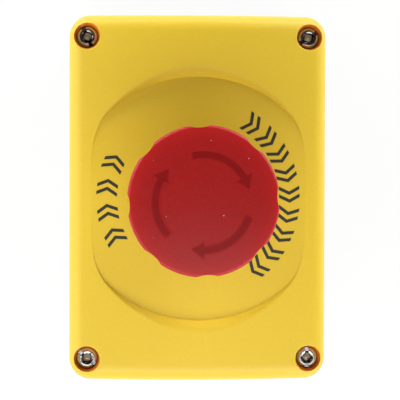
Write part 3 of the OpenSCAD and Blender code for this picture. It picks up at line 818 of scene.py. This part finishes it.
def revolved(bm, profile, count):
    """Closed solid of a profile of (radius, height) points turned about +Z."""
    rings = []
    for radius, z in profile:
        around = circle((0, 0), radius, count) if radius else [(0, 0)]
        rings.append(ring_of(bm, [(*p, z) for p in around]))
    for first, second in zip(rings, rings[1:]):
        if len(first) == 1:
            fan(bm, first[0], second)
        elif len(second) == 1:
            fan(bm, second[0], first)
        else:
            bridge(bm, first, second)


def cut_away(body, tools):
    """Plain mesh of an object with other objects cut out of it. All of them are removed."""
    for tool in tools:
        modifier = body.modifiers.new("cut", "BOOLEAN")
        modifier.operation = "DIFFERENCE"
        modifier.solver = "EXACT"
        modifier.object = tool
    mesh = plain_mesh(body)
    for done in (body, *tools):
        bpy.data.objects.remove(done)
    return mesh


def crest_drop(reach):
    """How far the domed head lies under its ridge, at a reach from the axis."""
    if reach < ridge_radius:
        return dip_depth * min((ridge_radius - reach) / (ridge_radius - dip_radius), 1) ** 2
    return head_fall * ((reach - ridge_radius) / (head_radius - ridge_radius)) ** head_bend


def screw_mesh():
    """One screw on the axis, at the level of the real ones: domed head, drive recess and plain shank."""
    top = screw_high.z
    foot = screw_low.z
    crest = [0, *np.linspace(dip_radius, head_radius, head_rings)]
    bm = bmesh.new()
    revolved(bm, [
        *((reach, top - crest_drop(reach)) for reach in crest),
        (head_radius, well_seat + head_foot), (head_radius - head_foot, well_seat),
        (shank_radius, well_seat), (shank_radius, foot + tip_length),
        (shank_radius * tip_share, foot), (0, foot)], screw_points)
    head = linked("screw_head", finish_mesh(bm))
    bm = bmesh.new()
    slab(bm, [(-slot_reach, -slot_half), (slot_reach, -slot_half), (slot_reach, slot_half),
              (-slot_reach, slot_half)], top - slot_depth, top + cut_above)
    slot = linked("slot", finish_mesh(bm))
    bm = bmesh.new()
    star_lines = []
    for reach, waist, z in ((cross_foot, cross_foot * cross_foot_waist, top - cross_depth),
                            (cross_reach, cross_waist, top), (cross_reach, cross_waist, top + cut_above)):
        corners = [(waist if i % 2 else reach, pi / 4 * i) for i in range(cross_corners)]
        star_lines.append([(r * cos(a), r * sin(a), z) for r, a in corners])
    tip = bm.verts.new((0, 0, top - cross_depth + cross_rise))
    star = ring_of(bm, star_lines[0])
    fan(bm, tip, star)
    flat_fill(bm, walls(bm, star, star_lines[1:])[-1])
    cross = linked("cross", finish_mesh(bm))
    bm = bmesh_of(cut_away(head, [slot, cross]))
    soften_edges(bm, screw_soften, merge=screw_merge, flat=1)
    # The flank and the recess floor are marked for the painted reflection colours.
    finish = bm.verts.layers.float_color.new("finish")
    for vert in bm.verts:
        reach = hypot(vert.co.x, vert.co.y)
        on_flank = reach > reflection_radius and abs(vert.co.y) > slot_half + reflection_gap
        on_floor = reach < cross_foot + floor_gap and vert.co.z < top - slot_depth - floor_gap
        vert[finish] = (*(flank_painted_reflection if reach > cross_reach else floor_painted_reflection), float(on_flank or on_floor))
    return finish_mesh(bm, sharp=10)


def plated_metal(name, colour, dull, roughness, relief=0.006, rubbing=1.0, finish=None, painted_shade=None):
    """Metal with a cloudy plating and rubbing marks, a painted reflection where the mesh marks it, and
    painted shade.
    """
    scuff_dulling = 0.15
    grain_dulling = 0.12
    reflection_metallic = 0.2
    material, tree, shader, place = new_material(name)
    grain = group_of(tree, moulded_grain, place, Pebbles=1800.0, Clouds=420.0)
    scuffs = group_of(tree, fine_scuffs, place, Scale=500.0)
    body = blend_colour(tree, grain["Cloud"], dull, colour)
    metallic = 1.0
    if finish:
        left = add(tree, "ShaderNodeAttribute", attribute_name=finish).outputs
        body = blend_colour(tree, left["Alpha"], body, left["Color"])
        metallic = calc(tree, "MULTIPLY_ADD", left["Alpha"], reflection_metallic - 1.0, 1.0)
    if painted_shade:
        body = blend_colour(tree, painted_shade(tree, place), body, recess_shade_colour)
    rubbed = calc(tree, "MULTIPLY_ADD", scuffs["Scuffs"], scuff_dulling * rubbing, roughness)
    marks = calc(tree, "MULTIPLY_ADD", scuffs["Scuffs"], rubbing, grain["Height"])
    feed(tree, shader, {
        "Base Color": body,
        "Metallic": metallic,
        "Roughness": calc(tree, "MULTIPLY_ADD", grain["Height"], grain_dulling, rubbed),
        "Normal": bumped(tree, marks, strength=0.5, depth=relief * mm)})
    return material


def recess_painted_shade(tree, place):
    """Mask of painted shade on the drive recess's walls, by reach from the axis and depth under the head.
    """
    rim_clean = 0.1 * mm
    side_clean = 0.15 * mm
    folded = vector_calc(tree, "ABSOLUTE", place)
    away = vector_calc(tree, "SUBTRACT", folded, (*screw_place, screw_high.z))
    reach = vector_calc(tree, "LENGTH", vector_calc(tree, "MULTIPLY", away, (1, 1, 0)))
    height = add(tree, "ShaderNodeSeparateXYZ", {"Vector": away}).outputs["Z"]
    under_rim = calc(tree, "LESS_THAN", height, -rim_clean)
    over_floor = calc(tree, "GREATER_THAN", height, cross_rise - cross_depth + floor_gap)
    inside = calc(tree, "LESS_THAN", reach, cross_reach - side_clean)
    return calc(tree, "MULTIPLY", inside, calc(tree, "MULTIPLY", under_rim, over_floor))


screw_steel = plated_metal("screw_steel", screw_colour, screw_dull, roughness=0.16, relief=0.04,
                           rubbing=0.05, finish="finish", painted_shade=recess_painted_shade)
screw_places = [
    ((sx * screw_place.x, sy * screw_place.y, 0), radians(turn))
    for (sx, sy), turn in screw_turns.items()]
repeated_piece("corner_screws", screw_mesh(), screw_places, screw_steel, "enclosure", "screw_steel",
               "cover_screws")

# Operator body, panel seal and lock nut
# The black nylon bush of the 22 mm operator, clamped in the cover's panel between a rubber seal under
# its bezel and a ring nut behind.
bush_colour = (0.030, 0.030, 0.033)
bush_shade = (0.022, 0.022, 0.025)
nut_colour = (0.055, 0.058, 0.066)
nut_shade = (0.045, 0.047, 0.055)
bush_soften = 0.25 * mm
operator_plastic = moulded_plastic("operator_plastic", bush_colour, bush_shade, roughness=0.40)
carrier_plastic = moulded_plastic("carrier_plastic", nut_colour, nut_shade, roughness=0.44)
dressed("operator_bush", "operator_body", bush_soften, operator_plastic, "enclosure", "operator_plastic")
dressed("bezel_seal", "panel_seal", seal_soften, seal_rubber, "enclosure", "seal_rubber")
dressed("ring_nut", "lock_nut", bush_soften, carrier_plastic, "enclosure", "carrier_plastic")

# Return spring
# A coil of bright spring wire in the bush's well, under the cap's boss. It shortens as the head goes in.
return_wire = 1.2 * mm
return_turns = 6.0
spring_colour = (0.66, 0.67, 0.70)
spring_dull = (0.48, 0.49, 0.52)


def coil_tree():
    """Tree that sweeps a round wire along a helix, from its foot at the origin up +Z."""
    tree, given, put = shape_group("wire_coil", {"Radius": 1.0, "Wire": 0.1, "Length": 1.0, "Turns": 5.0})
    half_wire = calc(tree, "MULTIPLY", given["Wire"], 0.5)
    helix = add(tree, "GeometryNodeCurveSpiral", {
        "Resolution": 40, "Rotations": given["Turns"], "Start Radius": given["Radius"],
        "End Radius": given["Radius"], "Height": calc(tree, "SUBTRACT", given["Length"], given["Wire"])})
    lift = add(tree, "ShaderNodeCombineXYZ", {"Z": half_wire})
    raised = add(tree, "GeometryNodeTransform", {"Geometry": helix, "Translation": lift})
    wire = add(tree, "GeometryNodeCurvePrimitiveCircle", {"Resolution": 12, "Radius": half_wire})
    swept = add(tree, "GeometryNodeCurveToMesh", {
        "Curve": raised, "Profile Curve": wire, "Fill Caps": True})
    return end_shape(tree, put, swept, spring_steel)


spring_steel = plated_metal("spring_steel", spring_colour, spring_dull, roughness=0.24)
wire_coil = coil_tree()


def coil(radius, wire, length, turns, place):
    """Closed coil of wire, wound up +Z from the origin and then set in its place."""
    sizes = {"Radius": radius, "Wire": wire, "Length": length, "Turns": turns}
    mesh = grown(wire_coil, bpy.data.meshes.new("coil"), sizes)
    mesh.transform(place)
    return finish_mesh(bmesh_of(mesh))


def pressed_coil(name, node, wire, turns):
    """Coil that fills the box of a spring node along +Z, with a mesh of its own."""
    low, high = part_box(node)
    foot = Matrix.Translation(((low.x + high.x) / 2, (low.y + high.y) / 2, low.z))
    mesh = coil((high.y - low.y - wire) / 2, wire, high.z - low.z, turns, foot)
    piece = new_piece(name, mesh, spring_steel, "enclosure", "spring_steel", node)
    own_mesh(piece)


pressed_coil("return_coil", "return_spring", return_wire, return_turns)

# Mushroom cap
# The red push-and-twist head, moulded in one piece: a slightly domed crown with a rounded edge, eight
# finger notches round the rim, a skirt outside the bush's collar and a boss inside it.
cap_low, cap_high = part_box("mushroom_cap")
cap_radius = 20 * mm
cap_top = cap_high.z
cap_columns = 720
crown_radius = 132 * mm
cap_edge_width = 0.9 * mm
cap_edge_drop = 0.9 * mm
cap_rim_low = cap_top - 8 * mm
rim_under_round = 1.2 * mm
skirt_root = cap_rim_low - 4 * mm
skirt_low = skirt_root - 8 * mm
skirt_outer = 13.5 * mm
skirt_inner = 12.0 * mm
skirt_round = 0.3 * mm
skirt_fillet = ((1.2 * mm, 0.7 * mm), (0.3 * mm, -0.1 * mm), (0, -0.7 * mm))
cap_roof = cap_top - 3.5 * mm
boss_radius = 8.0 * mm
boss_low = cap_low.z
seal_groove_low = boss_low + 2.3 * mm
seal_groove_high = boss_low + 3.7 * mm
seal_groove_radius = 7.0 * mm
stem_bore = 5.05 * mm
stem_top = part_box("stem")[1].z
notch_count = 8
notch_width = 5.8 * mm
notch_depth = 0.7 * mm
notch_turn = 3.0


def arc_points(centre, radius, start, end, count):
    """Profile points along an arc, by angle in degrees."""
    angles = np.radians(np.linspace(start, end, count))
    return [(centre[0] + radius * cos(a), centre[1] + radius * sin(a)) for a in angles]


def crown_height(radius):
    """Height of the cap's domed crown at a radius."""
    return cap_top - crown_radius + sqrt(crown_radius ** 2 - radius ** 2)


def soft_edge(angle):
    """Point of the cap's upper edge: a quarter round laid on the crown, from 0 inside to 90 at the rim."""
    radius = cap_radius - cap_edge_width * (1 - sin(radians(angle)))
    return radius, crown_height(radius) - cap_edge_drop * (1 - cos(radians(angle)))


def cap_profile():
    """Half section of the cap as (radius, height) points, from the crown round to the stem's bore."""
    crown_line = np.linspace(0, cap_radius - cap_edge_width, 17)[:-1]
    edge_angles = np.linspace(0, 90, 31)
    rim_at = cap_radius - rim_under_round
    under = math.degrees(math.atan2(cap_rim_low - skirt_root, rim_at - skirt_outer)) - 90
    soft = skirt_round
    return [
        *((radius, crown_height(radius)) for radius in crown_line),
        *(soft_edge(angle) for angle in edge_angles),
        *arc_points((rim_at, cap_rim_low + rim_under_round), rim_under_round, 0, under, 14),
        *((skirt_outer + across, skirt_root + up) for across, up in skirt_fillet),
        *arc_points((skirt_outer - soft, skirt_low + soft), soft, 0, -90, 4),
        *arc_points((skirt_inner + soft, skirt_low + soft), soft, -90, -180, 4),
        (skirt_inner, cap_roof), (boss_radius, cap_roof),
        (boss_radius, seal_groove_high), (seal_groove_radius, seal_groove_high),
        (seal_groove_radius, seal_groove_low), (boss_radius, seal_groove_low),
        *arc_points((boss_radius - soft, boss_low + soft), soft, 0, -90, 4),
        (stem_bore, boss_low), (stem_bore, stem_top), (0, stem_top)]


def cap_tree():
    """Tree that turns a section about +Z and cuts its rim back along round finger notches."""
    sizes = {"Columns": 360, "Notches": 8, "Notch centre": 1.0, "Notch radius": 0.5, "Notch turn": 0.0}
    tree, given, put = shape_group("notched_cap", sizes)
    section = given["Geometry"]
    points = add(tree, "GeometryNodeAttributeDomainSize", {"Geometry": section}).outputs["Point Count"]
    grid = add(tree, "GeometryNodeMeshGrid", {
        "Size X": 1.0, "Size Y": 1.0, "Vertices X": calc(tree, "ADD", given["Columns"], 1),
        "Vertices Y": points})
    position = add(tree, "GeometryNodeInputPosition").outputs[0]
    across = add(tree, "ShaderNodeSeparateXYZ", {"Vector": position}).outputs
    share = calc(tree, "ADD", across["Y"], 0.5)
    row = calc(tree, "ROUND", calc(tree, "MULTIPLY", share, calc(tree, "SUBTRACT", points, 1)))
    sampled = add(tree, "GeometryNodeSampleIndex", {"Geometry": section, "Value": position, "Index": row},
                  data_type="FLOAT_VECTOR", domain="POINT")
    at = add(tree, "ShaderNodeSeparateXYZ", {"Vector": sampled}).outputs
    angle = calc(tree, "MULTIPLY", calc(tree, "ADD", across["X"], 0.5), 2 * pi)
    half_pitch = calc(tree, "DIVIDE", pi, given["Notches"])
    from_notch = calc(tree, "WRAP", calc(tree, "SUBTRACT", angle, given["Notch turn"]), half_pitch,
                      calc(tree, "MULTIPLY", half_pitch, -1))
    sideways = calc(tree, "MULTIPLY", given["Notch centre"], calc(tree, "SINE", from_notch))
    forward = calc(tree, "MULTIPLY", given["Notch centre"], calc(tree, "COSINE", from_notch))
    left_over = calc(tree, "SUBTRACT", calc(tree, "POWER", given["Notch radius"], 2),
                     calc(tree, "POWER", sideways, 2))
    chord = calc(tree, "SQRT", calc(tree, "MAXIMUM", left_over, 0))
    radius = calc(tree, "MINIMUM", at["X"], calc(tree, "SUBTRACT", forward, chord))
    place = add(tree, "ShaderNodeCombineXYZ", {
        "X": calc(tree, "MULTIPLY", radius, calc(tree, "COSINE", angle)),
        "Y": calc(tree, "MULTIPLY", radius, calc(tree, "SINE", angle)), "Z": at["Z"]})
    turned = add(tree, "GeometryNodeSetPosition", {"Geometry": grid, "Position": place})
    closed = add(tree, "GeometryNodeMergeByDistance", {"Geometry": turned, "Distance": merge_gap})
    return end_shape(tree, put, closed, cap_plastic)


cap_colour = (0.345, 0.0105, 0.0100)
cap_shade = (0.265, 0.0075, 0.0070)
# Painted glow: a lighter red towards the rim stands in for light that enters the cap from the side.
painted_rim_glow = (0.43, 0.0115, 0.0110)


def rim_glow_mask(tree, place):
    """Mask of painted glow towards the cap's rim, for light that enters from the side and lightens the red.
    """
    rim_power = 4.0
    reach = vector_calc(tree, "LENGTH", vector_calc(tree, "MULTIPLY", place, (1, 1, 0)))
    return calc(tree, "POWER", ramp(tree, reach, low=cap_radius / 2, high=cap_radius), rim_power)


cap_plastic = moulded_plastic("cap_plastic", cap_colour, cap_shade, roughness=0.30, pebbles=1600.0,
                              relief=0.03, specks=0.12, gloss=0.29, tint=painted_rim_glow, where=rim_glow_mask)
section_points = cap_profile()
section_mesh = bpy.data.meshes.new("cap_section")
section_mesh.from_pydata(
    [(x, 0, z) for x, z in section_points], [(i, i + 1) for i in range(len(section_points) - 1)], [])
notch_floor = cap_radius - notch_depth
notch_chord = sqrt(cap_radius ** 2 - notch_width ** 2 / 4)
notch_centre = (cap_radius ** 2 - notch_floor ** 2) / (2 * (notch_chord - notch_floor))
cap_turned = grown(cap_tree(), section_mesh, {
    "Columns": cap_columns, "Notches": notch_count, "Notch centre": notch_centre,
    "Notch radius": notch_centre - notch_floor, "Notch turn": radians(notch_turn)})
cap_mesh = finish_mesh(bmesh_of(cap_turned), sharp=32)
new_piece("push_cap", cap_mesh, cap_plastic, "head", "cap_plastic", "mushroom_cap")

# Turn arrows on the cap
# Three curved arrows, moulded in a deeper red into the crown, that show the way to twist it free.
arrow_radius = 12.45 * mm
arrow_band = 2.75 * mm
arrow_head_width = 5.5 * mm
arrow_head_length = 3.5 * mm
arrow_tail = 105.6
arrow_sweep = 90.3
arrow_shift = (-0.2 * mm, -0.26 * mm)
arrow_blur = 0.8 * mm
arrow_lift = 0.04 * mm
arrow_depth = 0.3 * mm
arrow_count = 3
arrow_band_steps = 24
arrow_head_steps = 8
arrow_colour = (0.212, 0.0036, 0.0042)
arrow_shade = (0.195, 0.0032, 0.0038)


def border_of(grid):
    """Vertices round the edge of a grid of rows."""
    sides = [row[0] for row in grid], [row[-1] for row in reversed(grid)]
    return sides[0] + grid[-1][1:-1] + sides[1] + grid[0][-2:0:-1]


def arrow_mesh():
    """One arrow laid on the crown: a band along an arc, clockwise, and a barbed point."""
    bm = bmesh.new()
    fade = bm.verts.layers.float.new("fade")
    blur_sweep = math.degrees(arrow_blur / arrow_radius)
    head_sweep = math.degrees(arrow_head_length / arrow_radius)
    neck = arrow_tail - arrow_sweep + head_sweep
    band_line = np.linspace(arrow_tail - blur_sweep, neck, arrow_band_steps)
    stations = [(arrow_tail, arrow_band / 2, 1.0), *((a, arrow_band / 2, 0.0) for a in band_line)]
    for i in range(arrow_head_steps + 1):
        half = arrow_head_width / 2 * (1 - i / arrow_head_steps)
        stations.append((neck - head_sweep * i / arrow_head_steps, half, i == arrow_head_steps))
    rows = []
    for degrees, half, end in stations:
        a = radians(degrees)
        inner = max(half - arrow_blur, half / 2)
        rows.append([
            ((arrow_radius + v) * cos(a), (arrow_radius + v) * sin(a), max(end, faded))
            for v, faded in ((-half, 1.0), (-inner, 0.0), (0, 0.0), (inner, 0.0), (half, 1.0))])
    borders = []
    for level in (arrow_lift, -arrow_depth):
        grid = []
        for row in rows:
            grid.append(ring_of(bm, [(x, y, crown_height(hypot(x, y)) + level) for x, y, _ in row]))
            for vert, (_, _, faded) in zip(grid[-1], row):
                vert[fade] = faded
        for first, second in zip(grid, grid[1:]):
            for i in range(len(first) - 1):
                bm.faces.new((first[i], first[i + 1], second[i + 1], second[i]))
        borders.append(border_of(grid))
    bridge(bm, *borders)
    return finish_mesh(bm)


arrow_plastic = moulded_plastic("arrow_plastic", arrow_colour, arrow_shade, roughness=0.36, pebbles=3200.0,
                                specks=0.1, gloss=0.2, tint=cap_colour, where=carried("fade"))
arrow_places = [((*arrow_shift, 0), 2 * pi * i / arrow_count) for i in range(arrow_count)]
repeated_piece("turn_arrows", arrow_mesh(), arrow_places, arrow_plastic, "head", "cap_plastic")

# Stem, cap seal, latch collar and clip
# The turned steel stem is pressed into the cap's boss. It carries the seal ring, the collar that guides
# the two latch pins, and the clip that keeps the push plate on.
stem_colour = (0.58, 0.58, 0.59)
stem_dull = (0.42, 0.42, 0.44)
stem_soften = 0.2 * mm
ring_soften = 0.05 * mm
collar_soften = 0.15 * mm
fine_soften = 0.1 * mm
stem_steel = plated_metal("stem_steel", stem_colour, stem_dull, roughness=0.26)
dressed("drive_stem", "stem", stem_soften, stem_steel, "head", "stem_steel")
dressed("boss_seal", "cap_seal", ring_soften, seal_rubber, "head", "seal_rubber")
dressed("pin_collar", "latch_collar", collar_soften, stem_steel, "head", "stem_steel")
dressed("retaining_clip", "stem_clip", fine_soften, spring_steel, "head", "spring_steel")

# Latch pins and their spring
# Two round-nosed steel pins that spread behind the bush's ledge as the head goes in, and hold it there.
# The small coil between them lengthens with each pin, so it is made as two halves.
pin_wire = 0.35 * mm
half_turns = 2.0
coil_low, coil_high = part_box("latch_spring")
coil_radius = (coil_high.y - coil_low.y - pin_wire) / 2
coil_level = (coil_low.z + coil_high.z) / 2
for side, sign in (("left", -1), ("right", 1)):
    latch = f"latch_{side}"
    dressed(f"lock_pin_{side}", f"latch_pin_{side}", fine_soften, stem_steel, latch, "stem_steel")
    half_turn = Matrix.Rotation((1 - sign) * pi / 2, 4, "Z")
    laid_down = Matrix.Rotation(sign * pi / 2, 4, "Y") @ half_turn
    place = Matrix.Translation((-sign * pin_wire / 2, 0, coil_level)) @ laid_down
    half_mesh = coil(coil_radius, pin_wire, coil_high.x + pin_wire / 2, half_turns, place)
    half_coil = new_piece(f"pin_coil_{side}", half_mesh, spring_steel, None, "spring_steel", "latch_spring")
    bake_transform(half_coil)

# Push plate
# A plain disc of pale plastic under the stem's shoulder, kept from turning by two tabs, that presses
# both contact plungers.
plate_colour = (0.62, 0.58, 0.47)
plate_shade = (0.56, 0.52, 0.42)
plate_soften = 0.2 * mm
plate_plastic = moulded_plastic("plate_plastic", plate_colour, plate_shade, roughness=0.42)
dressed("press_disc", "push_plate", plate_soften, plate_plastic, "push_carriage", "plate_plastic")

# Contact carrier
# The dark moulded frame that clamps on the bush behind the panel, with its plated grub screw, and takes
# the two contact blocks.
clamp_colour = (0.68, 0.67, 0.64)
clamp_dull = (0.52, 0.51, 0.48)
carrier_soften = 0.25 * mm
clamp_steel = plated_metal("clamp_steel", clamp_colour, clamp_dull, roughness=0.24)
dressed("block_frame", "contact_carrier", carrier_soften, carrier_plastic, "enclosure", "carrier_plastic")
dressed("frame_screw", "carrier_screw", fine_soften, clamp_steel, "enclosure", "screw_steel")

# Contact blocks
# Two normally closed blocks, each a grey housing with a red plunger, a brass bridge held up by a coil
# spring against two fixed brass strips, and a clamp screw for a wire at either end.
block_colour = (0.46, 0.47, 0.48)
block_shade = (0.40, 0.41, 0.42)
plunger_colour = (0.42, 0.02, 0.022)
plunger_shade = (0.36, 0.016, 0.018)
brass_colour = (0.78, 0.57, 0.26)
brass_dull = (0.60, 0.42, 0.18)
block_soften = 0.2 * mm
plunger_soften = 0.15 * mm
bridge_wire = 0.6 * mm
bridge_turns = 7.0
block_plastic = moulded_plastic("block_plastic", block_colour, block_shade, roughness=0.42)
plunger_plastic = moulded_plastic("plunger_plastic", plunger_colour, plunger_shade, roughness=0.38)
contact_brass = plated_metal("contact_brass", brass_colour, brass_dull, roughness=0.24)
for side in ("left", "right"):
    slider = f"contact_{side}"
    for name, node, width, material, body, slot in (
        ("block_housing", "contact_housing", block_soften, block_plastic, "enclosure", "block_plastic"),
        ("block_plunger", "contact_plunger", plunger_soften, plunger_plastic, slider, "plunger_plastic"),
        ("bridge_bar", "contact_bridge", fine_soften, contact_brass, slider, "contact_brass"),
        ("fixed_strips", "fixed_contacts", fine_soften, contact_brass, "enclosure", "contact_brass"),
        ("clamp_screws", "terminal_screws", fine_soften, clamp_steel, "enclosure", "screw_steel"),
        ("clamp_plates", "wire_clamps", fine_soften, clamp_steel, "enclosure", "screw_steel"),
    ):
        dressed(f"{name}_{side}", f"{node}_{side}", width, material, body, slot)
    pressed_coil(f"bridge_coil_{side}", f"contact_spring_{side}", bridge_wire, bridge_turns)

# Floor and studio light
# A pale floor that shows white and keeps a faint shadow. Soft boxes stand low around the corners, so
# that edges and flanks are brighter than the face, with weaker ones in front of it and above.
floor_half = 6.0
floor_grey = (0.88, 0.88, 0.88)
floor_white = 0.85
horizon_glow = 0.8
pure_white = (1, 1, 1)
light_aim = Vector((0, 0, 60 * mm))
floor_mesh = bpy.data.meshes.new("floor")
floor_corners = [(-sx * floor_half, -sy * floor_half, 0) for sx, sy in corner_signs]
floor_mesh.from_pydata(floor_corners, [], [(0, 1, 2, 3)])
floor = linked("floor", floor_mesh)
floor_paint = bpy.data.materials.new("floor_paint")
floor_paint.use_nodes = True
floor_mesh.materials.append(floor_paint)
paint = floor_paint.node_tree
paint.nodes.clear()
pale = add(paint, "ShaderNodeBsdfDiffuse", {"Color": floor_grey})
white = add(paint, "ShaderNodeEmission", {"Color": pure_white, "Strength": 1.0})
rays = add(paint, "ShaderNodeLightPath").outputs
mirrored = calc(paint, "MAXIMUM", rays["Is Glossy Ray"], rays["Is Transmission Ray"])
seen = calc(paint, "MAXIMUM", rays["Is Camera Ray"], mirrored)
both = add(paint, "ShaderNodeMixShader", {
    0: calc(paint, "MULTIPLY", seen, floor_white), 1: pale, 2: white})
add(paint, "ShaderNodeOutputMaterial", {"Surface": both})

world = bpy.data.worlds.new("studio")
scene.world = world
world.use_nodes = True
sky = world.node_tree
sky.nodes.clear()
way = add(sky, "ShaderNodeSeparateXYZ", {"Vector": add(sky, "ShaderNodeTexCoord").outputs["Generated"]})
glow = ramp(sky, way.outputs["Z"], low=0.0, high=0.5, start=horizon_glow, end=0.0)
to_camera = add(sky, "ShaderNodeLightPath").outputs["Is Camera Ray"]
strength = add(sky, "ShaderNodeMix", {0: to_camera, 2: glow, 3: 1.0}, data_type="FLOAT").outputs[0]
backdrop = add(sky, "ShaderNodeBackground", {"Color": pure_white, "Strength": strength})
add(sky, "ShaderNodeOutputWorld", {"Surface": backdrop})

for name, place, width, height, power in (
    ("top_left_low", (-0.50, 0.50, 0.20), 0.60, 0.25, 3.7),
    ("top_right_low", (0.50, 0.50, 0.15), 0.60, 0.20, 3.05),
    ("top_right_high", (0.42, 0.42, 0.40), 0.40, 0.30, 1.1),
    ("top_low", (0.0, 0.65, 0.15), 0.80, 0.15, 1.0),
    ("left_low", (-0.65, 0.0, 0.20), 0.50, 0.20, 0.6),
    ("left_high", (-0.50, 0.0, 0.50), 0.40, 0.30, 0.65),
    ("bottom_left", (-0.45, -0.45, 0.42), 0.50, 0.35, 2.0),
    ("bottom_right_high", (0.42, -0.42, 0.55), 0.40, 0.40, 1.15),
    ("bottom_right_low", (0.55, -0.55, 0.12), 0.60, 0.15, 1.95),
    ("front_near", (0.0, -0.38, 0.36), 0.50, 0.25, 1.04),
    ("front_high", (0.0, -0.30, 0.65), 0.50, 0.30, 0.77),
    ("overhead_front", (0.05, -0.22, 0.90), 0.30, 0.25, 0.15),
):
    box = bpy.data.lights.new(name, "AREA")
    box.shape = "RECTANGLE"
    box.size = width
    box.size_y = height
    box.energy = power
    lamp = linked(name, box)
    lamp.location = place
    lamp.rotation_euler = (light_aim - lamp.location).to_track_quat("-Z", "Y").to_euler()
